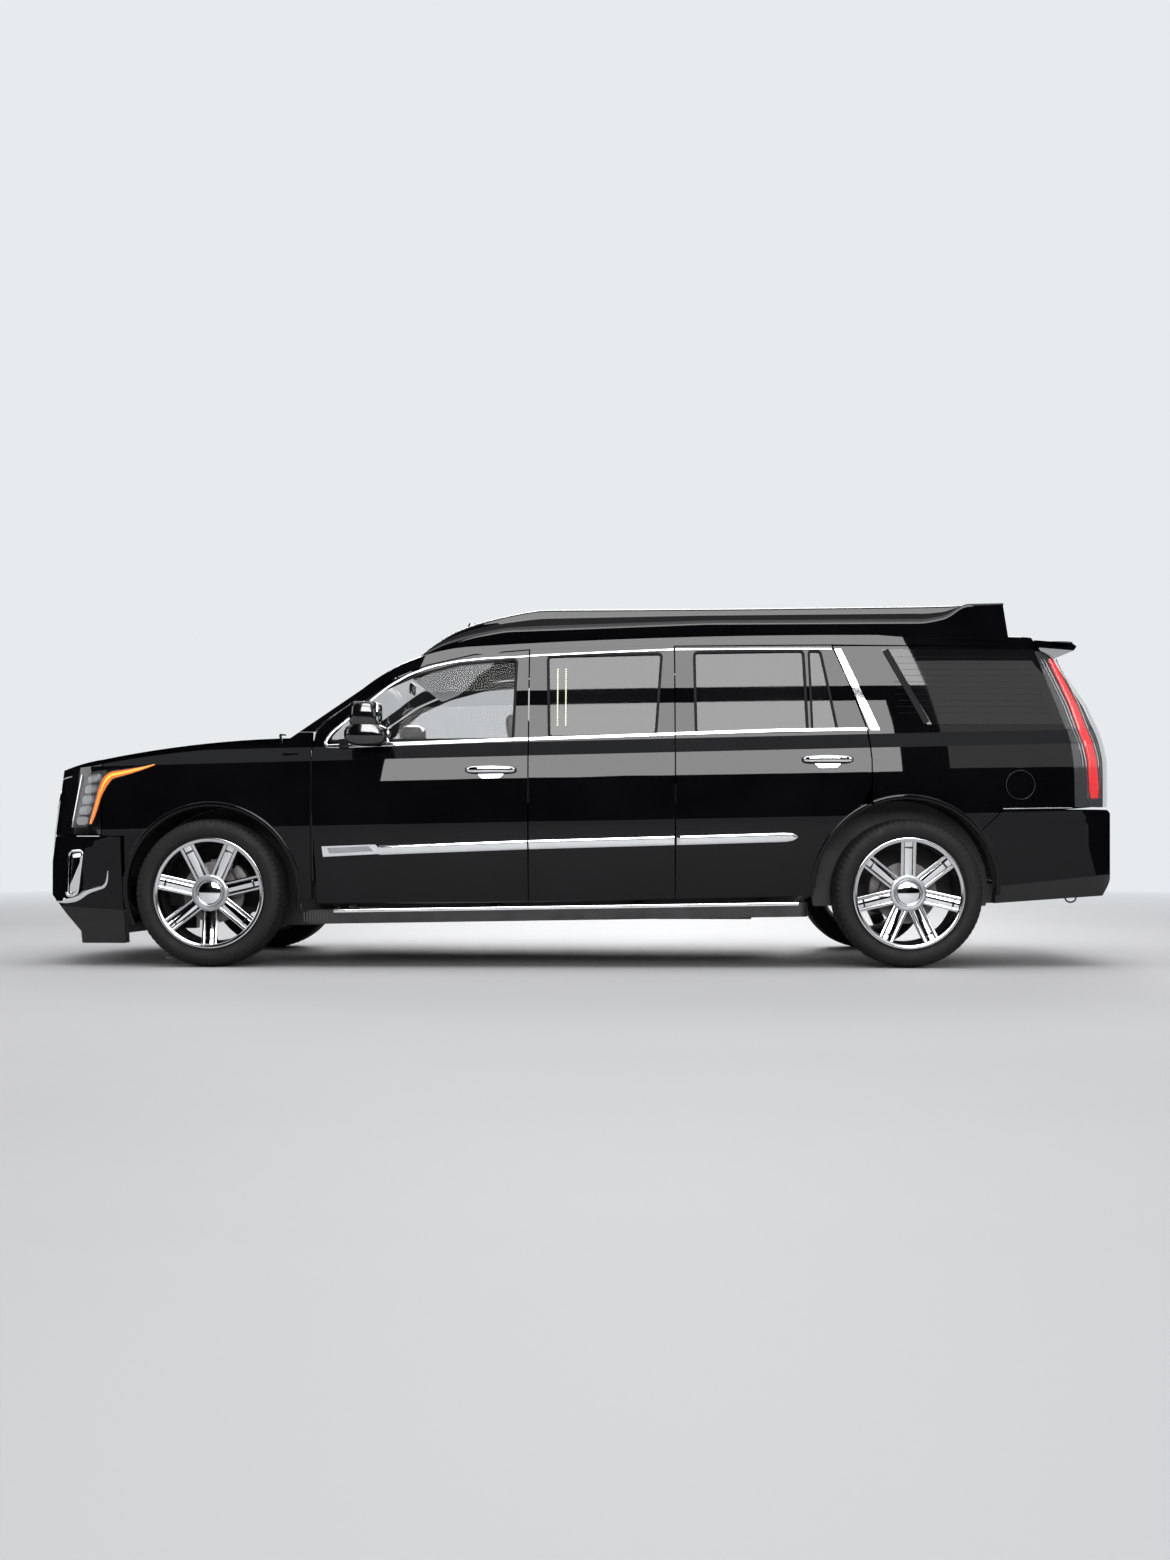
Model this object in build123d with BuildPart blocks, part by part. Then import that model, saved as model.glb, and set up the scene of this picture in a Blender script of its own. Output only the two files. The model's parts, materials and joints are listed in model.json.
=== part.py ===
"""A stretched sport utility limousine with a raised roof, as an assembly of separate pieces.

Millimetres. +X is forward, +Y is the left side, +Z is up. The ground is Z = 0.
The body skin is worked out once, as large curved volumes, and each panel is cut from it.
"""
from build123d import *
import os

os.makedirs("parts", exist_ok=True)

# ---- driving dimensions -------------------------------------------------------------------
STRETCH = 780.0          # fixed panel let in between the front and the rear doors
MID_X = -140.0           # middle of that panel
HALF_WIDTH = 1022.0      # half of the width at the waist
FRONT_OVERHANG = 1024.0
REAR_OVERHANG = 1213.0
DOOR_TO_FRONT_AXLE = 1702.0   # rear shut line of the front door to the front axle
DOOR_TO_REAR_AXLE = 1233.0    # front shut line of the rear door to the rear axle
TYRE_R = 395.0
TYRE_W = 285.0
RIM_R = 297.0
TRACK = 1745.0           # middle of the left tyre to the middle of the right one
RAIL_IN, RAIL_OUT = 390.0, 470.0      # inner and outer face of a frame rail
RAIL_LOW, RAIL_HIGH = 300.0, 440.0    # its bottom and top between the axles
ARCH_ROOM_F, ARCH_ROOM_R = 65.0, 88.0   # between tyre and arch, front and rear

# heights
SILL_Z = 345.0           # lower edge of the doors at the middle of the car
ROOF_Z = 1842.0          # middle of the roof at its highest
CAP_Z = 1971.0           # middle of the raised roof
FLOOR_Z = 500.0          # upper face of the cabin floor

# walls, gaps and fits
LOW_WALL = 120.0         # doors and side panels under the belt
HIGH_WALL = 45.0         # pillars and window frames above it
SKIN = 30.0              # outer leaf of a door under the belt, which laps over the inner one
FRAME_SKIN = 12.0        # and of its window frame above it
FENDER_WALL = 50.0
ROOF_WALL = 40.0
GAP = 7.0                # between two panels
LEAF_STEP = 14.0         # how far the inner leaf of a door stays inside the outer one
GLASS = 5.0
GLASS_INSET = 7.0        # glass behind the skin
SEAT_GAP = 0.3           # between two pieces that seat on each other

# places that follow from them
FRONT_GAP = MID_X + STRETCH / 2
REAR_GAP = MID_X - STRETCH / 2
AXLE_F = FRONT_GAP + DOOR_TO_FRONT_AXLE
AXLE_R = REAR_GAP - DOOR_TO_REAR_AXLE
NOSE = AXLE_F + FRONT_OVERHANG
TAIL = AXLE_R - REAR_OVERHANG
A = FRONT_GAP            # outlines ahead of the stretch panel are measured from here
B = REAR_GAP             # and outlines behind it from here
WHEEL_Y = TRACK / 2
FRONT_ARCH_R = TYRE_R + ARCH_ROOM_F
REAR_ARCH_R = TYRE_R + ARCH_ROOM_R
FAR = 4000.0             # a length past every edge of the body

# curvature of the body skin
PLAN_R = 45000.0         # sides, seen from above
CROWN_R = 3500.0         # hood and roof, seen from the front
NOSE_R = 2600.0          # grille and bumper, seen from above
TAIL_R = 9000.0          # tailgate, seen from above
RAKE = 1.3               # degrees by which the waist rises to the rear
CORNER_R = 420.0         # front corners, seen from above
CORNER_Y = 545.0         # middle of that rounding
CORNER = Plane(origin=(NOSE - 390, 0, -300), x_dir=(1, 0, 0.11), z_dir=(-0.11, 0, 1))   # leans back
COS_45 = 0.5 ** 0.5


def save(builder, name):
    """Label a finished piece and write it."""
    builder.part.label = name
    export_step(builder.part, f"parts/{name}.step")


def outline(points, depth=FAR, offset_by=0.0):
    """A prism across the car with this side outline, in X and Z."""
    with BuildPart() as prism:
        with BuildSketch(Plane.XZ):
            with BuildLine():
                Polyline(*points, close=True)
            make_face()
            if offset_by:
                offset(amount=offset_by, kind=Kind.INTERSECTION)
        extrude(amount=depth, both=True)
    return prism.part


def block(x0, x1, y0, y1, z0, z1):
    """A plain block between two corners."""
    with BuildPart() as made:
        with BuildSketch(Plane.XY.offset(z0)):
            with Locations(((x0 + x1) / 2, (y0 + y1) / 2)):
                Rectangle(abs(x1 - x0), abs(y1 - y0))
        extrude(amount=z1 - z0)
    return made.part


def barrel_y(x, z, radius, y0, y1):
    """A cylinder across the car."""
    with BuildPart() as made:
        with BuildSketch(Plane.XZ.offset(-y0)):
            with Locations((x, z)):
                Circle(radius)
        extrude(amount=-(y1 - y0))
    return made.part


def side_volume(low=0.0, high=0.0):
    """All that lies inside the left body side, set in by low under the belt and high above."""
    w = HALF_WIDTH
    with BuildPart() as side:
        with BuildSketch(Plane.YZ):
            with BuildLine():
                Polyline((-1400, 2300), (-1400, -300), (w - 170 - low, -300), (w - 77 - low, 300))
                ThreePointArc((w - 77 - low, 300), (w - 19 - low, 575), (w - low, 850))
                ThreePointArc((w - low, 850), (w - 4 - low, 992), (w - 16 - low, 1130))
                Line((w - 16 - low, 1130), (w - 56 - low, 1205))
                if low != high:
                    Line((w - 56 - low, 1205), (w - 56 - high, 1205))
                ThreePointArc((w - 56 - high, 1205), (w - 117 - high, 1490), (w - 198 - high, 1760))
                Polyline((w - 198 - high, 1760), (w - 360 - high, 2300), (-1400, 2300))
            make_face()
        revolve(axis=Axis((0, w - PLAN_R, 0), (0, 0, 1)), revolution_arc=9)
    turned = side.part.rotate(Axis((0, w - PLAN_R, 0), (0, 0, 1)), -4.5)
    return turned.rotate(Axis((0, 0, 1200), (0, 1, 0)), RAKE)


def top_volume(drop=0.0):
    """All that lies under the hood, the windscreen and the roof, set down by drop."""
    with BuildPart() as top:
        with BuildSketch(Plane.XZ):
            with BuildLine():
                Polyline((NOSE + 400, -300), (NOSE + 400, 1000 - drop), (A + 2657, 1047 - drop))
                ThreePointArc((A + 2657, 1047 - drop), (A + 2550, 1117 - drop), (A + 2432, 1150 - drop))
                ThreePointArc((A + 2432, 1150 - drop), (A + 1930, 1230 - drop), (A + 1345, 1268 - drop))
                Line((A + 1345, 1268 - drop), (A + 896, 1567 - drop))
                ThreePointArc((A + 896, 1567 - drop), (A + 620, 1722 - drop), (A + 310, 1786 - drop))
                ThreePointArc((A + 310, 1786 - drop), (B - 700, ROOF_Z - drop), (B - 1890, 1826 - drop))
                Polyline((B - 1890, 1826 - drop), (TAIL - 400, 1750 - drop), (TAIL - 400, -300),
                         (NOSE + 400, -300))
            make_face()
        revolve(axis=Axis((0, 0, -CROWN_R), (1, 0, 0)), revolution_arc=44)
    return top.part.rotate(Axis((0, 0, -CROWN_R), (1, 0, 0)), -22)


def nose_block(inset=0.0):
    """The space ahead of the nose, which leans back to the hood and curves round at the sides."""
    axis_x = NOSE - NOSE_R
    with BuildPart() as ahead:
        add(block(AXLE_F - 500, NOSE + 600, -1400, 1400, -300, 2400))
        with BuildSketch(Plane.XZ):
            with BuildLine():
                Polyline((axis_x, -300), (NOSE - 190 - inset, -300), (NOSE - 150 - inset, 180),
                         (NOSE - 70 - inset, 280), (NOSE - inset, 380), (NOSE - inset, 560),
                         (NOSE - 62 - inset, 1060), (NOSE - 90 - inset, 2400), (axis_x, 2400), close=True)
            make_face()
        revolve(axis=Axis((axis_x, 0, 0), (0, 0, 1)), revolution_arc=360, mode=Mode.SUBTRACT)
        for side in (1, -1):
            radius = CORNER_R - inset
            with BuildSketch(CORNER):
                with BuildLine():
                    Line((0, side * 1400), (0, side * (CORNER_Y + radius)))
                    ThreePointArc((0, side * (CORNER_Y + radius)),
                                  (radius * COS_45, side * (CORNER_Y + radius * COS_45)),
                                  (radius, side * CORNER_Y))
                    Polyline((radius, side * CORNER_Y), (1200, side * CORNER_Y), (1200, side * 1400),
                             (0, side * 1400))
                make_face()
            extrude(amount=2700)
    return ahead.part


def tail_block(inset=0.0):
    """The space behind the tailgate, which leans forward to the roof."""
    axis_x = TAIL + TAIL_R
    with BuildPart() as behind:
        add(block(TAIL - 600, AXLE_R, -1400, 1400, -300, 2400))
        with BuildSketch(Plane.XZ):
            with BuildLine():
                Polyline((axis_x, 0), (TAIL + 170 + inset, 0), (TAIL + 170 + inset, 1030))
                ThreePointArc((TAIL + 170 + inset, 1030), (TAIL + 205 + inset, 1270),
                              (TAIL + 300 + inset, 1500))
                Polyline((TAIL + 300 + inset, 1500), (TAIL + 470 + inset, 1760),
                         (TAIL + 620 + inset, 2000), (axis_x, 2000), (axis_x, 0))
            make_face()
        revolve(axis=Axis((axis_x, 0, 0), (0, 0, 1)), revolution_arc=360, mode=Mode.SUBTRACT)
    return behind.part


LEFT = side_volume()
LEFT_SKIN = side_volume(SKIN, FRAME_SKIN)
LEFT_IN = side_volume(LOW_WALL, HIGH_WALL)
TOP = top_volume()
TOP_IN = top_volume(ROOF_WALL)
AHEAD = nose_block()
BEHIND = tail_block()

# the left wall of the body, whole, and its outer and inner leaves
with BuildPart() as left_wall:
    add(LEFT)
    add(LEFT_IN, mode=Mode.SUBTRACT)
    add(TOP, mode=Mode.INTERSECT)
    add(BEHIND, mode=Mode.SUBTRACT)
with BuildPart() as left_outer:
    add(left_wall.part)
    add(LEFT_SKIN, mode=Mode.SUBTRACT)
with BuildPart() as left_inner:
    add(left_wall.part)
    add(LEFT_SKIN, mode=Mode.INTERSECT)
with BuildPart() as left_pane:
    add(side_volume(GLASS_INSET, GLASS_INSET))
    add(side_volume(GLASS_INSET + GLASS, GLASS_INSET + GLASS), mode=Mode.SUBTRACT)
    add(TOP, mode=Mode.INTERSECT)

# ---- outlines in side view, X and Z ---------------------------------------------------------
HG = GAP / 2
REAR_ARCH_X, REAR_ARCH_Z = AXLE_R + 8, TYRE_R + 17
FRONT_ARCH_X, FRONT_ARCH_Z = AXLE_F - 5, TYRE_R + 3
FRONT_DOOR = [(A + HG, SILL_Z + 3), (A + HG, 1698), (A + 300, 1672), (A + 550, 1615), (A + 800, 1510),
              (A + 962, 1402), (A + 1085, 1310), (A + 1140, 1250), (A + 1154, 1180), (A + 1154, 880),
              (A + 1134, 520), (A + 1131, SILL_Z - 14)]
FRONT_WINDOW = [(A + 82, 1214), (A + 67, 1648), (A + 374, 1624), (A + 600, 1565), (A + 790, 1480),
                (A + 920, 1385), (A + 1060, 1230), (A + 1058, 1206)]
MID_PANEL = [(A - HG, SILL_Z - 1), (A - HG, 1698 + GAP - SEAT_GAP), (B + HG, 1716 + GAP - SEAT_GAP),
             (B + HG, SILL_Z + 20)]
MID_WINDOW = [(A - 110, 1224), (A - 100, 1666), (B + 69, 1680), (B + 102, 1240)]
REAR_DOOR = [(B - HG, SILL_Z + 20), (B - HG, 1716), (B - 842, 1722), (B - 930, 1510), (B - 1018, 1262),
             (B - 1036, 1100), (B - 1036, 967), (B - 740, SILL_Z + 35)]
REAR_WINDOW = [(B - 111, 1246), (B - 105, 1686), (B - 690, 1694), (B - 703, 1256)]
VENT_WINDOW = [(B - 728, 1258), (B - 719, 1694), (B - 782, 1692), (B - 862, 1262)]
LAMP_EDGE = [(TAIL + 336, 850), (TAIL + 341, 1091), (TAIL + 360, 1246), (TAIL + 446, 1485),
             (TAIL + 540, 1712 + GAP - SEAT_GAP)]     # between the rear quarter and the tail lamp
QUARTER = [(B - 845 - GAP, 1712 + GAP - SEAT_GAP), (B - 933 - GAP, 1510), (B - 1020 - GAP, 1262),
           (B - 1036 - GAP, 1100), (B - 1036 - GAP, 860), (B - 1233, 700), (B - 1590, 700),
           (B - 1740, 846), *LAMP_EDGE]
QUARTER_WINDOW = [(B - 1146, 1690), (B - 1340, 1300), (TAIL + 425, 1300), (TAIL + 500, 1470),
                  (TAIL + 595, 1670), (TAIL + 600, 1690)]


def leafed_panel(shape, windows, arch=None):
    """A door or side panel of the left wall: an outer leaf, an inner one set in, and its windows."""
    with BuildPart() as leaf:
        add(left_outer.part)
        add(outline(shape), mode=Mode.INTERSECT)
    with BuildPart() as panel:
        add(left_inner.part)
        add(outline(shape, offset_by=-LEAF_STEP), mode=Mode.INTERSECT)
        add(leaf.part)
        for window in windows:
            add(outline(window), mode=Mode.SUBTRACT)
        if arch:
            add(barrel_y(arch[0], arch[1], arch[2], -1300, 1300), mode=Mode.SUBTRACT)
    return panel.part


def pane(window):
    """The glass of one window, a seat gap smaller than its opening."""
    with BuildPart() as glass:
        add(left_pane.part)
        add(outline(window, offset_by=-SEAT_GAP), mode=Mode.INTERSECT)
    return glass.part


# ---- body panels ----------------------------------------------------------------------------
DOOR_ARCH = (REAR_ARCH_X, REAR_ARCH_Z, REAR_ARCH_R + GAP)
REAR_ARCH = (REAR_ARCH_X, REAR_ARCH_Z, REAR_ARCH_R)
sides = {
    "front_door": leafed_panel(FRONT_DOOR, [FRONT_WINDOW]),
    "rear_door": leafed_panel(REAR_DOOR, [REAR_WINDOW, VENT_WINDOW], DOOR_ARCH),
}
HINGE_Z = (590, 1010)
HINGE_PADS = {"front_door": (A + 1085, A + 1154), "rear_door": (B - HG - 25, B + HG + LEAF_STEP - SEAT_GAP)}
for door, left in sides.items():
    with BuildPart() as door_left:
        add(left)
        for z in HINGE_Z:
            pad = HINGE_PADS[door]
            add(block(pad[0], pad[1], HALF_WIDTH - 112, HALF_WIDTH - 82, z - 30, z + 30))
    save(door_left, f"{door}_left")
    with BuildPart() as door_right:
        add(door_left.part.mirror(Plane.XZ))
    save(door_right, f"{door}_right")

for name, windows in (("front_door_glass", [FRONT_WINDOW]), ("rear_door_glass", [REAR_WINDOW, VENT_WINDOW]),
                      ("side_glass", [MID_WINDOW, QUARTER_WINDOW])):
    with BuildPart() as left_glass:
        for window in windows:
            add(pane(window))
    if name == "side_glass":
        with BuildPart() as both_glass:
            add(left_glass.part)
            add(left_glass.part.mirror(Plane.XZ))
        save(both_glass, name)
    else:
        with BuildPart() as right_glass:
            add(left_glass.part.mirror(Plane.XZ))
        save(left_glass, name + "_left")
        save(right_glass, name + "_right")

with BuildPart() as mid_panels:
    add(leafed_panel(MID_PANEL, [MID_WINDOW]))
    mirror(about=Plane.XZ)
save(mid_panels, "mid_panels")

# rear quarters, cut round the wheel arch, with the seat of the fuel door in the left one
FUEL_X, FUEL_Z, FUEL_R = AXLE_R - 593, 969, 83
with BuildPart() as quarter_left:
    add(leafed_panel(QUARTER, [QUARTER_WINDOW], REAR_ARCH))
with BuildPart() as quarter_panels:
    add(quarter_left.part.mirror(Plane.XZ))
    add(quarter_left.part)
    add(barrel_y(FUEL_X, FUEL_Z, FUEL_R, HALF_WIDTH - 110, HALF_WIDTH + 50), mode=Mode.SUBTRACT)
save(quarter_panels, "quarter_panels")

FUEL_LID = 20.0
with BuildPart() as fuel_door:
    add(quarter_left.part)
    add(side_volume(FUEL_LID, FUEL_LID), mode=Mode.SUBTRACT)
    add(barrel_y(FUEL_X, FUEL_Z, FUEL_R - 5, 0, 1300), mode=Mode.INTERSECT)
    add(block(FUEL_X + 56, FUEL_X + 68, HALF_WIDTH - 110 + SEAT_GAP, HALF_WIDTH - 75,
              FUEL_Z - 20, FUEL_Z + 20))
save(fuel_door, "fuel_door")

# front fenders: a side skin and a top one, cut round the wheel arch
HOOD_HALF = 850.0
SILL_OUT = HALF_WIDTH - LOW_WALL - 95
COWL_HALF = SILL_OUT
COWL_X = A + 1345
FENDER = [(A + 1154 + GAP, 360), (A + 1154 + GAP, 1254), (COWL_X, 1254), (COWL_X, 1400),
          (NOSE - 440, 1400), (NOSE - 440, 700), (NOSE - 560, 700), (NOSE - 560, 360)]
with BuildPart() as fender_inside:
    add(side_volume(FENDER_WALL, FENDER_WALL))
    add(TOP_IN, mode=Mode.INTERSECT)
with BuildPart() as fender_left:
    add(LEFT)
    add(TOP, mode=Mode.INTERSECT)
    add(AHEAD, mode=Mode.SUBTRACT)
    add(fender_inside.part, mode=Mode.SUBTRACT)
    add(outline(FENDER), mode=Mode.INTERSECT)
    add(block(-FAR, FAR, HOOD_HALF + GAP, 1500, 0, 2000), mode=Mode.INTERSECT)
    add(barrel_y(FRONT_ARCH_X, FRONT_ARCH_Z, FRONT_ARCH_R, -1300, 1300), mode=Mode.SUBTRACT)
    add(block(A + 1230, A + 1310, COWL_HALF + SEAT_GAP, HALF_WIDTH - FENDER_WALL - 10, 1090, 1140))
with BuildPart() as front_fenders:
    add(fender_left.part)
    mirror(about=Plane.XZ)
save(front_fenders, "front_fenders")

# hood: the top skin between the fenders, from the cowl to the nose
with BuildPart() as hood:
    add(TOP)
    add(TOP_IN, mode=Mode.SUBTRACT)
    add(block(COWL_X - 5, NOSE + 100, -HOOD_HALF, HOOD_HALF, 950, 1400), mode=Mode.INTERSECT)
    add(AHEAD, mode=Mode.SUBTRACT)
save(hood, "hood")

# roof: a rail over each row of doors with its pillar down to the cowl, and two headers
RAIL = 110.0
GATE_X = B - 1885
ROOF_LINE = [(A + 1345, 1262), (A + 1140 + GAP, 1262), (A + 1085 + GAP, 1310 + GAP),
             (A + 962, 1402 + GAP), (A + 800, 1510 + GAP), (A + 550, 1615 + GAP), (A + 300, 1672 + GAP),
             (A, 1698 + GAP), (B, 1716 + GAP), (B - 842, 1722 + GAP), (GATE_X + GAP, 1712 + GAP),
             (GATE_X + GAP, 2000), (A + 1345, 2000)]
with BuildPart() as rail_left:
    add(LEFT)
    add(side_volume(RAIL, RAIL), mode=Mode.SUBTRACT)
    add(TOP, mode=Mode.INTERSECT)
    add(outline(ROOF_LINE), mode=Mode.INTERSECT)
with BuildPart() as header_skin:
    add(TOP)
    add(TOP_IN, mode=Mode.SUBTRACT)
    add(LEFT, mode=Mode.INTERSECT)
    add(LEFT.mirror(Plane.XZ), mode=Mode.INTERSECT)
FRONT_HEADER = (A + 640, A + 720)
REAR_HEADER = (GATE_X + GAP, GATE_X + 90)
with BuildPart() as header_places:
    for x0, x1 in (FRONT_HEADER, REAR_HEADER):
        add(block(x0, x1, -870, 870, 1500, 2000))
with BuildPart() as roof_frame:
    add(header_skin.part)
    add(header_places.part, mode=Mode.INTERSECT)
    add(rail_left.part)
    add(rail_left.part.mirror(Plane.XZ))
save(roof_frame, "roof_frame")

# windscreen: one bent pane between the pillars, from the cowl to the front header
with BuildPart() as windscreen:
    add(top_volume(GLASS_INSET))
    add(top_volume(GLASS_INSET + 6), mode=Mode.SUBTRACT)
    add(side_volume(RAIL + SEAT_GAP, RAIL + SEAT_GAP), mode=Mode.INTERSECT)
    add(side_volume(RAIL + SEAT_GAP, RAIL + SEAT_GAP).mirror(Plane.XZ), mode=Mode.INTERSECT)
    add(block(FRONT_HEADER[1] + SEAT_GAP, COWL_X - 5 - GAP, -1000, 1000, 1000, 2000), mode=Mode.INTERSECT)
save(windscreen, "windscreen")

# raised roof: a wide lower tier that sweeps up at the tail, and a narrower upper one
CAP_WALL = 25.0
CAP_LOW = [(A + 640, 1690), (A + 566, 1735), (A + 360, 1795), (A + 133, 1812), (A - 161, 1822),
           (A - 949, 1850), (B - 1346, 1853), (B - 1467, 1878), (B - 1554, 1942), (B - 1766, 1952),
           (B - 1750, 1885), (B - 1790, 1690)]
CAP_HIGH = [(A + 566, 1735), (A + 405, 1818), (A + 298, 1857), (A + 191, 1886), (A + 85, 1910),
            (A - 21, 1930), (A - 74, 1936), (B - 1766, 1952), (B - 1752, 1890), (B - 1300, 1800)]


def cap_tier(shape, low_half, high_half, low_z, high_z, crown, inset):
    """One tier of the raised roof: a side outline and a section with a crowned top, set in."""
    with BuildPart() as tier:
        with BuildSketch(Plane.YZ.offset(-FAR)):
            with BuildLine():
                Polyline((-high_half + inset, high_z - inset), (-low_half + inset, low_z),
                         (low_half - inset, low_z), (high_half - inset, high_z - inset))
                ThreePointArc((high_half - inset, high_z - inset), (0, crown - inset),
                              (-high_half + inset, high_z - inset))
            make_face()
        extrude(amount=2 * FAR)
        add(outline(shape, offset_by=-inset), mode=Mode.INTERSECT)
    return tier.part


def cap_volume(inset):
    """Both tiers of the raised roof in one."""
    with BuildPart() as cap:
        add(cap_tier(CAP_LOW, 812, 760, 1650, 1960, CAP_Z, inset))
        add(cap_tier(CAP_HIGH, 775, 700, 1700, 1936, CAP_Z, inset))
    return cap.part


with BuildPart() as raised_roof:
    add(cap_volume(0))
    add(cap_volume(CAP_WALL), mode=Mode.SUBTRACT)
    add(top_volume(-SEAT_GAP), mode=Mode.SUBTRACT)
save(raised_roof, "raised_roof")

# tailgate: the rear wall between the quarters, with its window, hinged at the roof
GATE_HALF = 790.0
GATE_WALL = 70.0
BEHIND_IN = tail_block(GATE_WALL)
GATE_WINDOW = (1280, 1665)
GATE_HINGE_Y = 420.0
with BuildPart() as gate_whole:
    add(block(TAIL - 100, GATE_X, -GATE_HALF, GATE_HALF, 846 + GAP, 2000))
    add(BEHIND, mode=Mode.SUBTRACT)
    add(BEHIND_IN, mode=Mode.INTERSECT)
    add(TOP, mode=Mode.INTERSECT)
    add(side_volume(LOW_WALL + GAP, HIGH_WALL + 2 * GAP), mode=Mode.INTERSECT)
    add(side_volume(LOW_WALL + GAP, HIGH_WALL + 2 * GAP).mirror(Plane.XZ), mode=Mode.INTERSECT)
with BuildPart() as tailgate:
    add(gate_whole.part)
    for y in (-GATE_HINGE_Y, GATE_HINGE_Y):     # hinge pads, which seat on the roof header
        add(block(GATE_X - 5, GATE_X + GAP - SEAT_GAP, y - 35, y + 35, 1772, 1792))
    with BuildSketch(Plane.YZ.offset(TAIL - 200)):
        with Locations((0, sum(GATE_WINDOW) / 2)):
            RectangleRounded(1290, GATE_WINDOW[1] - GATE_WINDOW[0], 60)
    extrude(amount=900, mode=Mode.SUBTRACT)
save(tailgate, "tailgate")
with BuildPart() as rear_window:
    with BuildSketch(Plane.YZ.offset(TAIL - 200)):
        with Locations((0, sum(GATE_WINDOW) / 2)):
            RectangleRounded(1290 - 2 * SEAT_GAP, GATE_WINDOW[1] - GATE_WINDOW[0] - 2 * SEAT_GAP, 59)
    extrude(amount=900)
    add(tail_block(GLASS_INSET), mode=Mode.SUBTRACT)
    add(tail_block(GLASS_INSET + GLASS), mode=Mode.INTERSECT)
save(rear_window, "rear_window")

# spoiler: a blade behind the top of the tailgate
with BuildPart() as spoiler:
    add(outline([(GATE_X - 60, 1756), (TAIL + 300, 1740), (TAIL + 275, 1722), (TAIL + 290, 1700),
                 (TAIL + 480, 1716)], depth=760))
    add(tail_block(-SEAT_GAP), mode=Mode.INTERSECT)
save(spoiler, "spoiler")

# ---- nose -----------------------------------------------------------------------------------
with BuildPart() as nose_solid:
    add(block(AXLE_F + 400, NOSE + 100, -1300, 1300, 120, 1400))
    add(AHEAD, mode=Mode.SUBTRACT)
    add(LEFT, mode=Mode.INTERSECT)
    add(LEFT.mirror(Plane.XZ), mode=Mode.INTERSECT)
NOSE_WALL, END_WALL = 100.0, 90.0         # of the bumpers, grille and lamps: across the car, and at its sides
with BuildPart() as nose_inside:
    add(block(AXLE_F + 300, NOSE + 100, -1300, 1300, 0, 1500))
    add(nose_block(NOSE_WALL), mode=Mode.SUBTRACT)
    add(side_volume(END_WALL, END_WALL), mode=Mode.INTERSECT)
    add(side_volume(END_WALL, END_WALL).mirror(Plane.XZ), mode=Mode.INTERSECT)
with BuildPart() as nose_shell:
    add(nose_solid.part)
    add(nose_inside.part, mode=Mode.SUBTRACT)

GRILLE_HALF = 560.0
CARRIER = (AXLE_F + 610, AXLE_F + 690)    # radiator with its frame, on the ends of the rails
CARRIER_HALF = 640.0
BUMPER_TOP = 700.0
GRILLE_LOW, GRILLE_TOP = 470.0, 960.0
GRILLE_FRAME = 44.0      # the frame round the grille
BARS, BAR_HIGH, BAR_DEEP = 6, 22.0, 34.0
BAR_PITCH = (GRILLE_TOP - GRILLE_LOW - 2 * GRILLE_FRAME) / (BARS + 1)
with BuildPart() as grille_bars:
    for k in range(1, BARS + 1):
        bar_z = GRILLE_LOW + GRILLE_FRAME + k * BAR_PITCH
        add(block(NOSE - 300, NOSE + 100, -GRILLE_HALF + 10, GRILLE_HALF - 10,
                  bar_z - BAR_HIGH / 2, bar_z + BAR_HIGH / 2))
    add(nose_block(BAR_DEEP), mode=Mode.INTERSECT)
    add(nose_block(8), mode=Mode.SUBTRACT)
with BuildPart() as grille:
    add(nose_shell.part)
    add(block(AXLE_F, NOSE + 100, -GRILLE_HALF, GRILLE_HALF, GRILLE_LOW, GRILLE_TOP), mode=Mode.INTERSECT)
    add(block(AXLE_F, NOSE + 100, -GRILLE_HALF + GRILLE_FRAME, GRILLE_HALF - GRILLE_FRAME,
              GRILLE_LOW + GRILLE_FRAME, GRILLE_TOP - GRILLE_FRAME), mode=Mode.SUBTRACT)
    add(grille_bars.part)
    for side in (1, -1):
        add(block(CARRIER[1] + SEAT_GAP, NOSE - 150, side * (GRILLE_HALF - 40), side * (GRILLE_HALF - 5),
                  700, 740))
save(grille, "grille")
with BuildPart() as hood_room:
    add(block(COWL_X, NOSE + 200, -HOOD_HALF - GAP, HOOD_HALF + GAP, 500, 1500))
    add(top_volume(ROOF_WALL + GAP), mode=Mode.SUBTRACT)
with BuildPart() as lamp_left:
    add(nose_shell.part)
    add(outline([(NOSE - 440 + GAP, 700 + GAP), (NOSE - 440 + GAP, 1300), (NOSE + 100, 1300),
                 (NOSE + 100, BUMPER_TOP + GAP)]), mode=Mode.INTERSECT)
    add(block(AXLE_F, NOSE + 100, GRILLE_HALF + GAP, 1300, 470, 1500), mode=Mode.INTERSECT)
    add(TOP, mode=Mode.INTERSECT)
    add(hood_room.part, mode=Mode.SUBTRACT)
    add(block(CARRIER[0], CARRIER[1], CARRIER_HALF + SEAT_GAP, 850, 880, 920))
with BuildPart() as headlamps:
    add(lamp_left.part)
    mirror(about=Plane.XZ)
save(headlamps, "headlamps")
INTAKE_HALF = 470.0
INTAKE_Z = (215.0, 360.0)                 # air intake in the bumper
FOG_X, FOG_Z = (NOSE - 330, NOSE - 242), (382.0, 612.0)     # pocket of each fog lamp
FOG_DEEP = 30.0
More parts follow.
